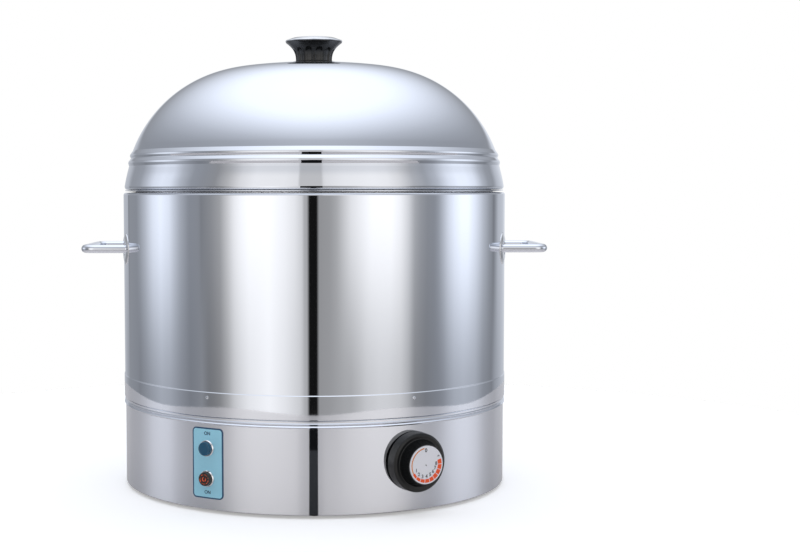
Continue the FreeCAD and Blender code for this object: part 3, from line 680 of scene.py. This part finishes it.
def lens_plastic(name, colour, glow, glow_colour):
    """Clear moulded acrylic over a lamp, with the lamp's light in two broken rings."""
    material, tree = new_material(name)
    place = add(tree, "TexCoord").outputs["Object"]
    flat = add(tree, "VectorMath", {0: place, 1: (1000.0, 1000.0, 0.0)}, operation="MULTIPLY")
    far = add(tree, "VectorMath", {0: flat.outputs[0]}, operation="LENGTH")
    # Moulded rings 2.7 mm apart gather the light at 1.7 and 4.4 mm from the middle
    turn = add(tree, "Math", {0: far.outputs["Value"], 1: 2.33, 2: -2.4}, operation="MULTIPLY_ADD")
    rings = add(tree, "Math", {0: turn.outputs[0]}, operation="SINE")
    bright = add(tree, "MapRange", {"Value": rings.outputs[0], "From Min": 0.45, "From Max": 0.9},
                 interpolation_type="SMOOTHSTEP")
    # The glow electrodes inside leave some of each ring dark
    patchy = add(tree, "TexNoise", {"Vector": place}, Scale=380.0, Detail=1.0)
    gate = add(tree, "MapRange", {"Value": patchy.outputs["Fac"], "From Min": 0.44,
                                  "From Max": 0.56}, interpolation_type="SMOOTHSTEP")
    lit = add(tree, "Math", {0: bright.outputs[0], 1: gate.outputs[0]}, operation="MULTIPLY")
    strength = add(tree, "Math", {0: lit.outputs[0], 1: glow}, operation="MULTIPLY")
    ridges = add(tree, "Bump", {"Height": rings.outputs[0]}, Strength=0.15, Distance=0.0002)
    shader = add(tree, "BsdfPrincipled", {"Base Color": linear(colour), "Normal": ridges.outputs[0],
                                          "Emission Color": linear(glow_colour),
                                          "Emission Strength": strength.outputs[0]},
                 Roughness=0.12, IOR=1.49)
    add(tree, "OutputMaterial", {"Surface": shader.outputs[0]})
    return material


blue_lens = lens_plastic("clear_blue_acrylic", "#1A5676", 0.0, "#FFFFFF")
red_lens = lens_plastic("clear_red_acrylic", "#332A26", 0.75, "#F05A28")
for name, height, node, material in (("blue", 59.1, "blue_lamp_lens", blue_lens),
                                     ("red", 31.6, "red_lamp_lens", red_lens)):
    place = stood_on_wall(LABEL_AZIMUTH, height, HOUSING_RADIUS + 0.5)
    build(name + "_lens", turned(lens_outline, 96), "steamer_body", [node], material,
          place)
    build(name + "_lamp_bezel", turned(bezel_outline, 96), "steamer_body", ["lamp_bezels"],
          bright_chrome, place)


# Thermostat knob. Black phenolic with a broad satin skirt and a matt, ribbed hub, pushed on the
# shaft. Its axis points straight out of the round wall.
KNOB_AZIMUTH = 27.9
KNOB_HEIGHT = 48.0
SKIRT_RADIUS = 27.0
HUB_FOOT = 11.0
HUB_FRONT = 20.95
HUB_RIBS = 20
RIB_DEPTH = 0.3
knob_place = stood_on_wall(KNOB_AZIMUTH, KNOB_HEIGHT, HOUSING_RADIUS + 0.8)
skirt_outline = rounded([
    (5.0, 0.0),
    (SKIRT_RADIUS, 0.0),
    (SKIRT_RADIUS - 0.4, 9.8, 1.0),
    (SKIRT_RADIUS - 2.6, HUB_FOOT, 1.0),
    (21.6, 10.6, 0.8),
    (20.9, 11.4, 0.5),
    (18.5, 20.9, 0.5),
    (17.9, 21.2, 0.2),
    (17.35, 20.9, 0.1),
    (17.35, 20.4),
    (5.0, 20.4),
])


def rib_depth(angle, radius, z):
    """How deep the grooves between the hub's ribs are."""
    across = abs((angle * HUB_RIBS / (2 * math.pi)) % 1.0 - 0.5) * 2
    on_hub = smooth_step(11.2, 12.4, z) * smooth_step(20.9, 20.2, z)
    return RIB_DEPTH * smooth_step(0.42, 0.72, across) * on_hub * smooth_step(17.4, 17.8, radius)


skirt_points, skirt_faces = turned(subdivided(skirt_outline, 0.9), 400)
skirt_points = stood(carve(skirt_points, rib_depth), knob_place)
control_knob = build("thermostat_knob", (skirt_points, skirt_faces), "thermostat_dial",
                     ["control_knob"],
                     phenolic("satin_black_phenolic", "#101112", 0.3, 0.4))
second_finish(control_knob, phenolic("matt_black_phenolic", "#08090A", 0.5, 0.06),
              lambda middle: HUB_FOOT < (knob_place.inverted() @ (middle * MM)).z / MM < HUB_FRONT)


# Dial plate. A satin anodised aluminium disc in the hub's front, screen printed: a thin amber
# line, nine orange blocks with the numbers 1 to 9 along them, a 0 on top and a centre mark.
DIAL_FACE = 21.2
PRINT_HEIGHT = 0.04
BLOCKS_START = 242.0
BLOCK_STEP = 19.0
BLOCK_SWEEP = 16.8
BLOCK_OUTSIDE = 15.9
NUMBERS_START = 248.0
NUMBER_STEP = 23.0
NUMBER_RADII = (11.2, 11.1, 10.8, 10.2, 9.7, 9.4, 9.6, 10.2, 14.0)


def spun_aluminium(name, colour, roughness):
    """Satin anodised aluminium with fine turning lines, which soften what it reflects."""
    material, tree = new_material(name)
    place = add(tree, "TexCoord").outputs["Object"]
    far = add(tree, "VectorMath", {0: place}, operation="LENGTH")
    # Turning lines 0.15 mm apart, drawn 0.6 mm apart
    lines = add(tree, "TexNoise", {"W": far.outputs["Value"]}, noise_dimensions="1D",
                Detail=3.0, Scale=1600.0)
    rough = add(tree, "MapRange", {"Value": lines.outputs["Fac"], "To Min": roughness * 0.8,
                                   "To Max": roughness * 1.3})
    grain = add(tree, "Bump", {"Height": lines.outputs["Fac"]}, Strength=0.1, Distance=0.0001)
    shader = add(tree, "BsdfPrincipled", {"Base Color": linear(colour), "Normal": grain.outputs[0],
                                          "Roughness": rough.outputs[0]}, Metallic=0.3)
    add(tree, "OutputMaterial", {"Surface": shader.outputs[0]})
    return material


dial_outline = rounded([
    (0.0, 20.45),
    (17.2, 20.45),
    (17.2, DIAL_FACE, 0.25),
    (0.0, DIAL_FACE),
])
dial_silver = spun_aluminium("satin_anodised_aluminium", "#F2F4FC", 0.38)
build("dial_face", turned(dial_outline, 160), "thermostat_dial", ["dial_plate"],
      dial_silver, knob_place)


def ring_band(bands, low, high):
    """Thin printed bands on the dial: (inner radius, outer radius, from, to) with clock angles
    in degrees, clockwise from the top."""
    points = []
    faces = []
    for inner, outer, first, last in bands:
        steps = max(2, math.ceil(abs(last - first) / 3))
        start = len(points)
        for k in range(steps + 1):
            turn = math.radians(first + (last - first) * k / steps)
            for radius, z in ((inner, low), (inner, high), (outer, high), (outer, low)):
                points.append((radius * math.sin(turn), radius * math.cos(turn), z))
        for k in range(steps):
            here = start + 4 * k
            for i in range(4):
                j = (i + 1) % 4
                faces.append((here + i, here + j, here + 4 + j, here + 4 + i))
        faces.append(tuple(start + i for i in range(4)))
        faces.append(tuple(start + 4 * steps + i for i in range(4)))
    return points, faces


orange_ink = film("orange_screen_ink", "#FF5A1A", 0.4)
amber_ink = film("amber_screen_ink", "#E08028", 0.4)
grey_ink = film("dark_grey_screen_ink", "#4C4E54", 0.5)
blocks = []
for k in range(9):
    end = BLOCKS_START - BLOCK_STEP * k
    blocks.append((13.6 - 1.7 * min(k / 5, 1), BLOCK_OUTSIDE, end - BLOCK_SWEEP, end))
for name, bands, ink in (("dial_blocks", blocks, orange_ink),
                         ("dial_line", [(14.5, 15.5, 243, 352)], amber_ink),
                         ("dial_centre_mark", [(0.3, 0.9, 120, 330)], grey_ink)):
    build(name, ring_band(bands, DIAL_FACE, DIAL_FACE + PRINT_HEIGHT), "thermostat_dial", [],
          ink, knob_place)
# Each number is (digit, size, sideways, upward); the first nine follow the blocks round
numbers = []
for k, far in enumerate(NUMBER_RADII):
    clock = math.radians(NUMBERS_START - NUMBER_STEP * k)
    numbers.append((k + 1, 4.4, far * math.sin(clock), far * math.cos(clock)))
for digit, size, x, y in numbers + [(0, 4.8, -0.4, 13.0)]:
    spot = Matrix.Translation(Vector((x, y, DIAL_FACE + 0.03)) * MM)
    printed("dial_number_%d" % digit, str(digit), size, knob_place @ spot, "thermostat_dial",
            grey_ink)


# Feet. Four moulded rubber feet with recessed screws, which keep the base off the table and
# stop it from sliding.
def moulded(name, colour, roughness, skin_depth):
    """Dull moulded rubber or plastic with the skin that a blasted mould leaves."""
    material, tree = new_material(name)
    place = add(tree, "TexCoord").outputs["Object"]
    # Blasting marks of 0.2 mm, drawn at 0.7 mm, and cloudy patches about 20 mm wide
    skin = add(tree, "TexNoise", {"Vector": place}, Scale=1400.0, Detail=3.0)
    cloud = add(tree, "TexNoise", {"Vector": place}, Scale=50.0, Detail=2.0)
    shade = linear(colour)
    ground = add(tree, "Mix", {0: cloud.outputs["Fac"], 6: [c * 0.82 for c in shade[:3]] + [1],
                               7: [min(1.0, c * 1.18) for c in shade[:3]] + [1]}, data_type="RGBA")
    rough = add(tree, "MapRange", {"Value": cloud.outputs["Fac"], "To Min": roughness * 0.85,
                                   "To Max": min(1.0, roughness * 1.2)})
    bump = add(tree, "Bump", {"Height": skin.outputs["Fac"]}, Strength=0.4, Distance=skin_depth)
    shader = add(tree, "BsdfPrincipled", {"Base Color": ground.outputs[2], "Normal": bump.outputs[0],
                                          "Roughness": rough.outputs[0]})
    add(tree, "OutputMaterial", {"Surface": shader.outputs[0]})
    return material


def dress(material, *names):
    """Gives pieces carried over from the frame their finish."""
    for name in names:
        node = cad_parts[name]
        node.data.materials.clear()
        node.data.materials.append(material)


dress(moulded("black_moulded_rubber", "#1C1C1D", 0.75, 0.0002), "rubber_feet")


# Base fastenings. Zinc-plated screws and nuts, and the plate of the same sheet that closes the
# base from below.
def aged_metal(name, colour, stain, roughness, patch):
    """Bare or plated metal, with patches of a second tone from plating, casting or handling."""
    material, tree = new_material(name)
    place = add(tree, "TexCoord").outputs["Object"]
    # Patch is their width in mm
    patches = add(tree, "TexNoise", {"Vector": place}, Scale=1000.0 / patch, Detail=4.0)
    edge = add(tree, "MapRange", {"Value": patches.outputs["Fac"], "From Min": 0.38,
                                  "From Max": 0.66}, interpolation_type="SMOOTHSTEP")
    ground = add(tree, "Mix", {0: edge.outputs[0], 6: linear(colour), 7: linear(stain)},
                 data_type="RGBA")
    rough = add(tree, "MapRange", {"Value": patches.outputs["Fac"], "To Min": roughness * 0.7,
                                   "To Max": roughness * 1.3})
    # Tool and die marks of 0.1 mm, drawn at 0.5 mm
    marks = add(tree, "TexNoise", {"Vector": place}, Scale=2000.0, Detail=2.0)
    bump = add(tree, "Bump", {"Height": marks.outputs["Fac"]}, Strength=0.2, Distance=0.0001)
    shader = add(tree, "BsdfPrincipled", {"Base Color": ground.outputs[2], "Normal": bump.outputs[0],
                                          "Roughness": rough.outputs[0]}, Metallic=1.0)
    add(tree, "OutputMaterial", {"Surface": shader.outputs[0]})
    return material


zinc = aged_metal("zinc_plated_steel", "#C6C9CE", "#A9ABA9", 0.36, 6.0)
dress(zinc, "foot_screws", "foot_nuts", "base_plate", "base_plate_screws")


# Mains inlet. A black nylon gland and its nut at the back, a white terminal block behind it, and
# a brass earth stud on the base plate.
black_nylon = moulded("black_moulded_nylon", "#18191B", 0.5, 0.0001)
dress(black_nylon, "cable_gland", "gland_nut")
dress(moulded("white_terminal_moulding", "#D9D5CA", 0.45, 0.0001), "terminal_block")
dress(aged_metal("turned_brass", "#C9A556", "#A98744", 0.3, 5.0), "earth_stud")


# Thermostat and lamp works. The bodies behind the housing are black nylon. The thermostat's
# steel shaft carries the knob, and a copper capillary leads to a bulb clipped under the vessel.
dress(black_nylon, "thermostat_body", "lamp_bodies", "lamp_nuts")
dress(zinc, "thermostat_screws", "thermostat_shaft", "bulb_clip")
dress(aged_metal("drawn_copper", "#C07C58", "#96583C", 0.32, 8.0), "sensing_bulb", "capillary_tube")


# Heater. A cast aluminium plate with the element inside, clamped under the vessel's floor by a
# bar on a welded stud.
dress(aged_metal("cast_aluminium", "#B4B6B9", "#8E9094", 0.5, 3.0), "heater_plate")
dress(zinc, "heater_clamp", "heater_stud", "heater_nut")


# Steam tray. A punched plate of satin stainless steel that stands on rod legs in the vessel, with
# a rod loop in its middle to lift it by.
dress(satin, "steam_tray", "tray_legs", "tray_handle")


# Hidden nuts and screw. Zinc-plated nuts hold the handles inside the wall, and a washer and a
# screw hold the lid knob from below.
dress(zinc, "handle_nuts", "knob_washer", "knob_screw")


# Table. A square top of satin white acrylic with well rounded corners, which the steel shows as a
# pale band. The camera sees it as plain white with the steamer's soft shadow. A black flag lies
# on it in front, where the lens looks through between the soft boxes.
TABLE_WIDTH = 1500.0
TABLE_DEPTH = 1534.0
TABLE_SQUARENESS = 2.4
TABLE_POINTS = 192
TABLE_FADE = 745.0
FLAG_SPREAD = 0.0215
FLAG_SHIFT = 0.005
FLAG_BLUR = 0.8
FLAG_END = 700.0
VELVET_START = 517.0
VELVET_BLEND = 12.0


def table_top():
    """White acrylic with the flag on it, and a softly ending plain white for the camera."""
    material, tree = new_material("satin_white_acrylic")
    place = add(tree, "TexCoord").outputs["Object"]
    far = add(tree, "VectorMath", {0: place}, operation="LENGTH")
    fade = add(tree, "MapRange", {"Value": far.outputs["Value"], "From Min": TABLE_FADE * MM * 0.96,
                                  "From Max": TABLE_FADE * MM}, interpolation_type="SMOOTHSTEP")
    ends = add(tree, "MapRange", {"Value": far.outputs["Value"], "From Min": (FLAG_END + 4) * MM,
                                  "From Max": (FLAG_END - 4) * MM})
    across = add(tree, "SeparateXYZ", {0: place})
    # The flag widens with the distance, so that the round base shows it as an even strip
    slant = add(tree, "Math", {0: across.outputs["Y"], 1: -2 * FLAG_SHIFT, 2: across.outputs["X"]},
                operation="MULTIPLY_ADD")
    middle = add(tree, "Math", {0: slant.outputs[0], 1: FLAG_SHIFT * HOUSING_RADIUS * MM},
                 operation="SUBTRACT")
    side = add(tree, "Math", {0: middle.outputs[0]}, operation="ABSOLUTE")
    reach = add(tree, "Math", {0: across.outputs["Y"], 1: 2 * FLAG_SPREAD, 2: side.outputs[0]},
                operation="MULTIPLY_ADD")
    flag = add(tree, "MapRange", {"Value": reach.outputs[0],
                                  "From Min": (FLAG_BLUR - FLAG_SPREAD * HOUSING_RADIUS) * MM,
                                  "From Max": (-FLAG_BLUR - FLAG_SPREAD * HOUSING_RADIUS) * MM},
               interpolation_type="SMOOTHSTEP")
    acrylic = add(tree, "BsdfPrincipled", {"Base Color": linear("#E2DBD6")},
                  Roughness=0.2, Metallic=0.3)
    # The flag's outer half is velvet, darker than the cloth near the steamer
    velvet = add(tree, "MapRange", {"Value": far.outputs["Value"], "From Min": VELVET_START * MM,
                                    "From Max": (VELVET_START + VELVET_BLEND) * MM},
                 interpolation_type="SMOOTHSTEP")
    blacks = add(tree, "Mix", {0: velvet.outputs[0], 6: linear("#3C3C3C"), 7: linear("#161616")},
                 data_type="RGBA")
    cloth = add(tree, "BsdfDiffuse", {"Color": blacks.outputs[2]})
    covered = add(tree, "Math", {0: flag.outputs[0], 1: ends.outputs[0]}, operation="MULTIPLY")
    top = add(tree, "MixShader", {0: covered.outputs[0], 1: acrylic.outputs[0], 2: cloth.outputs[0]})
    board = add(tree, "BsdfDiffuse", Color=linear("#F2F2F2"))
    lift = add(tree, "Emission", Color=linear("#FFFFFF"), Strength=0.36)
    plain = add(tree, "AddShader", {0: board.outputs[0], 1: lift.outputs[0]})
    ray = add(tree, "LightPath")
    clear = add(tree, "BsdfTransparent")
    soft = add(tree, "MixShader", {0: fade.outputs[0], 1: plain.outputs[0], 2: clear.outputs[0]})
    seen = add(tree, "MixShader", {0: ray.outputs["Is Camera Ray"], 1: top.outputs[0],
                                   2: soft.outputs[0]})
    add(tree, "OutputMaterial", {"Surface": seen.outputs[0]})
    return material


rim = []
for k in range(TABLE_POINTS):
    turn = 2 * math.pi * k / TABLE_POINTS
    x, y = math.sin(turn), math.cos(turn)
    power = TABLE_SQUARENESS
    bulge = (abs(x) ** power + abs(y) ** power) ** (-1 / power)
    rim.append((TABLE_WIDTH / 2 * MM * bulge * x, TABLE_DEPTH / 2 * MM * bulge * y, 0.0))
table_mesh = bpy.data.meshes.new("table_top")
table_mesh.from_pydata(rim, [], [tuple(range(TABLE_POINTS))[::-1]])
table = bpy.data.objects.new("table_top", table_mesh)
bpy.context.scene.collection.objects.link(table)
table.data.materials.append(table_top())


# Lens card. A level black card between the object and the lens, just under the lens's height. It
# is seen only by polished edges above it that face down, and not by the camera or the light.
CARD_HEIGHT = 289.9
CARD_NEAR = -190.8
CARD_FAR = -1350.0
card_corners = [(-12.7, CARD_NEAR), (7.6, CARD_NEAR), (100.0, CARD_FAR), (-167.0, CARD_FAR)]
card_points = [(x * MM, y * MM, CARD_HEIGHT * MM) for x, y in card_corners]
card_mesh = bpy.data.meshes.new("lens_card")
card_mesh.from_pydata(card_points, [], [(3, 2, 1, 0)])
card = bpy.data.objects.new("lens_card", card_mesh)
bpy.context.scene.collection.objects.link(card)
card.visible_camera = False
card.visible_diffuse = False
card.visible_shadow = False
card.visible_transmission = False
card_material, tree = new_material("black_card_one_side")
side = add(tree, "NewGeometry")
black = add(tree, "BsdfDiffuse", Color=linear("#161616"))
clear = add(tree, "BsdfTransparent")
shown = add(tree, "MixShader", {0: side.outputs["Backfacing"], 1: black.outputs[0],
                                2: clear.outputs[0]})
add(tree, "OutputMaterial", {"Surface": shown.outputs[0]})
card.data.materials.append(card_material)


# Studio light. Soft boxes and grey flags stand all round, painted on the sky by direction. Each
# pair is an azimuth from the front, in degrees, and the grey that polished steel shows there.
EYE_LEVEL = [
    (-180, 205), (-172, 190), (-160, 176), (-149, 174), (-147, 122), (-144.5, 139), (-131, 139),
    (-126, 157), (-119, 187), (-110, 232), (-102, 248), (-94, 231), (-90, 205), (-85, 172),
    (-78, 139), (-70.5, 137), (-69.5, 124), (-62, 140), (-56, 160), (-51, 204), (-47, 236),
    (-43, 252), (-38, 262), (-26, 262), (-17, 248), (-11, 232), (-6.6, 205), (-5.6, 172),
    (-3.2, 165), (-2.9, 19), (1.5, 19), (2.2, 146), (9, 153), (13, 171), (17, 202), (21, 227),
    (26, 242), (33, 260), (45, 262), (51, 246), (56, 214), (60, 171), (64, 152), (69, 139),
    (74, 139), (77, 155), (81, 190), (85, 222), (90, 246), (96, 262), (102, 262), (110, 233),
    (119, 187), (127, 152), (131, 140), (134, 118), (137, 140), (143, 180), (155, 190),
    (163, 208), (180, 205),
]
LOW_LEVEL = [
    (-180, 190), (-160, 170), (-147, 139), (-131, 133), (-127, 126), (-119, 139), (-110, 155),
    (-102, 168), (-94, 162), (-85, 140), (-77, 123), (-70.5, 130), (-69.5, 136), (-64, 116),
    (-60, 122), (-56, 134), (-51, 166), (-47, 199), (-43, 215), (-38, 231), (-26, 246),
    (-17, 230), (-8, 204), (-5.6, 175), (-3.2, 165), (-2.9, 19), (1.5, 19), (2.2, 146),
    (9, 152), (17, 166), (21, 169), (26, 184), (30, 198), (38, 208), (43, 207), (51, 197),
    (56, 172), (60, 134), (68, 121), (77, 130), (81, 139), (85, 155), (90, 169), (98, 176),
    (110, 166), (119, 139), (131, 125), (137, 150), (155, 180), (180, 190),
]
HIGH_LEVEL = [
    (-180, 211), (-160, 184), (-152, 175), (-144, 147), (-137, 148), (-129, 154), (-121, 184),
    (-112, 222), (-104, 233), (-96, 226), (-88, 183), (-79, 148), (-71, 141), (-62, 141),
    (-53, 179), (-45, 218), (-36, 236), (-18, 233), (-9.6, 224), (-8.4, 190), (4.6, 190),
    (5.8, 220), (9, 224), (18, 233), (36, 240), (45, 235), (53, 216), (62, 175), (71, 158),
    (79, 182), (88, 227), (96, 244), (104, 243), (112, 228), (121, 180), (129, 151), (137, 146),
    (144, 180), (152, 195), (163, 211), (180, 211),
]
# From the overhead box's middle outwards, in degrees
OVERHEAD = [(0, 268), (28, 262), (36, 248), (43, 228), (50, 203), (54, 186), (57, 175), (60, 163),
            (64, 150), (68, 141), (80, 141)]
OVERHEAD_SPAN = 100
OVERHEAD_TILT = math.radians(12)
OVERHEAD_NARROWING = 1.25
HALVES = ((-182.7, 2.7), (-2.7, 182.7))
WARM = (1.02, 1.0, 0.98, 1.0)
COOL = (0.96, 1.0, 1.08, 1.0)
LIGHT_STRENGTH = 2.4


def level(code):
    """Linear level of a grey between 0 and 255, and a little over for a box that burns out."""
    return ((code / 255 + 0.055) / 1.055) ** 2.4


world = bpy.data.worlds.new("studio")
bpy.context.scene.world = world
world.use_nodes = True
tree = world.node_tree
tree.nodes.clear()
way = add(tree, "TexCoord").outputs["Generated"]
parts = add(tree, "SeparateXYZ", {0: way})
front = add(tree, "Math", {0: parts.outputs["Y"], 1: -1.0}, operation="MULTIPLY")
azimuth = add(tree, "Math", {0: parts.outputs["X"], 1: front.outputs[0]}, operation="ARCTAN2")
share = add(tree, "MapRange", {"Value": azimuth.outputs[0], "From Min": -math.pi,
                               "From Max": math.pi})
on_right = add(tree, "Math", {0: azimuth.outputs[0], 1: 0.0}, operation="GREATER_THAN")
# How far a piece of steel leans back to show this part of the sky to the front: 0 is an upright
# wall and 1 is a flat top
away = add(tree, "VectorMath", {0: way, 1: (0.0, 1.0, 0.0)}, operation="SUBTRACT")
span = add(tree, "VectorMath", {0: away.outputs[0]}, operation="LENGTH")
least = add(tree, "Math", {0: span.outputs["Value"], 1: 0.6}, operation="MAXIMUM")
lean = add(tree, "Math", {0: parts.outputs["Z"], 1: least.outputs[0]}, operation="DIVIDE")
fades = []
for factor, low, high in ((parts.outputs["Z"], -0.15, -0.005), (lean.outputs[0], 0.03, 0.14),
                          (lean.outputs[0], 0.21, 0.36)):
    fade = add(tree, "MapRange", {"Value": factor, "From Min": low, "From Max": high},
               interpolation_type="SMOOTHSTEP")
    fades.append(fade.outputs[0])
squeezed = add(tree, "VectorMath", {0: way, 1: (OVERHEAD_NARROWING, 1.0, 1.0)}, operation="MULTIPLY")
unit = add(tree, "VectorMath", {0: squeezed.outputs[0]}, operation="NORMALIZE")
middle = (0.0, math.sin(OVERHEAD_TILT), math.cos(OVERHEAD_TILT))
towards = add(tree, "VectorMath", {0: unit.outputs[0], 1: middle}, operation="DOT_PRODUCT")
off_axis = add(tree, "Math", {0: towards.outputs["Value"]}, operation="ARCCOSINE")
spread = add(tree, "Math", {0: off_axis.outputs[0], 1: 1 / math.radians(OVERHEAD_SPAN)},
             operation="MULTIPLY")
# Each level takes two ramps that overlap in front, because one ramp holds 32 stops at most
sweeps = []
for ring in (LOW_LEVEL, EYE_LEVEL, HIGH_LEVEL):
    for low, high in HALVES:
        stops = [((angle + 180) / 360, code) for angle, code in ring if low <= angle <= high]
        sweeps.append((share, stops))
sweeps.append((spread, [(angle / OVERHEAD_SPAN, code) for angle, code in OVERHEAD]))
levels = []
for factor, stops in sweeps:
    ramp = add(tree, "ValToRGB", {0: factor.outputs[0]})
    elements = ramp.color_ramp.elements
    elements.remove(elements[-1])
    elements[0].position = stops[0][0]
    for k, (position, code) in enumerate(stops):
        stop = elements.new(position) if k else elements[0]
        # Half strength, because a ramp holds no more than 1
        stop.color = [level(code) / 2] * 3 + [1]
    levels.append(ramp.outputs[0])
rings = [add(tree, "MixRGB", {0: on_right.outputs[0], 1: levels[k], 2: levels[k + 1]})
         for k in (0, 2, 4)]
sky = add(tree, "MixRGB", {0: fades[0], 1: rings[0].outputs[0], 2: rings[1].outputs[0]})
sky = add(tree, "MixRGB", {0: fades[1], 1: sky.outputs[0], 2: rings[2].outputs[0]})
sky = add(tree, "MixRGB", {0: fades[2], 1: sky.outputs[0], 2: levels[-1]})
# The boxes in front are a little warmer than those beside and above
aside = add(tree, "Math", {0: azimuth.outputs[0]}, operation="ABSOLUTE")
turned_off = add(tree, "MapRange", {"Value": aside.outputs[0], "From Min": math.radians(50),
                                    "From Max": math.radians(78)}, interpolation_type="SMOOTHSTEP")
cool_share = add(tree, "Math", {0: turned_off.outputs[0], 1: fades[2]}, operation="MAXIMUM")
hue = add(tree, "MixRGB", {0: cool_share.outputs[0], 1: WARM, 2: COOL})
tint = add(tree, "MixRGB", {0: 1.0, 1: sky.outputs[0], 2: hue.outputs[0]}, blend_type="MULTIPLY")
light = add(tree, "Background", {"Color": tint.outputs[0]}, Strength=LIGHT_STRENGTH)
backdrop = add(tree, "Background", Color=linear("#FFFFFF"), Strength=1.0)
eye = add(tree, "LightPath")
seen = add(tree, "MixShader", {0: eye.outputs["Is Camera Ray"], 1: light.outputs[0],
                               2: backdrop.outputs[0]})
add(tree, "OutputWorld", {"Surface": seen.outputs[0]})


# Camera, at the photograph's angle: 1.43 m away and slightly above, with the steamer left of
# the middle of the frame.
camera_data = bpy.data.cameras.new("camera")
camera = bpy.data.objects.new("camera", camera_data)
bpy.context.scene.collection.objects.link(camera)
camera_data.lens = 64.1
camera_data.sensor_width = 36.0
camera_data.shift_x = 0.1073
camera.location = (0.0, -1.4345, 0.292)
camera.rotation_euler = (math.radians(90 - 3.52), math.radians(0.1), 0.0)
bpy.context.scene.camera = camera
bpy.context.scene.view_settings.view_transform = "Standard"
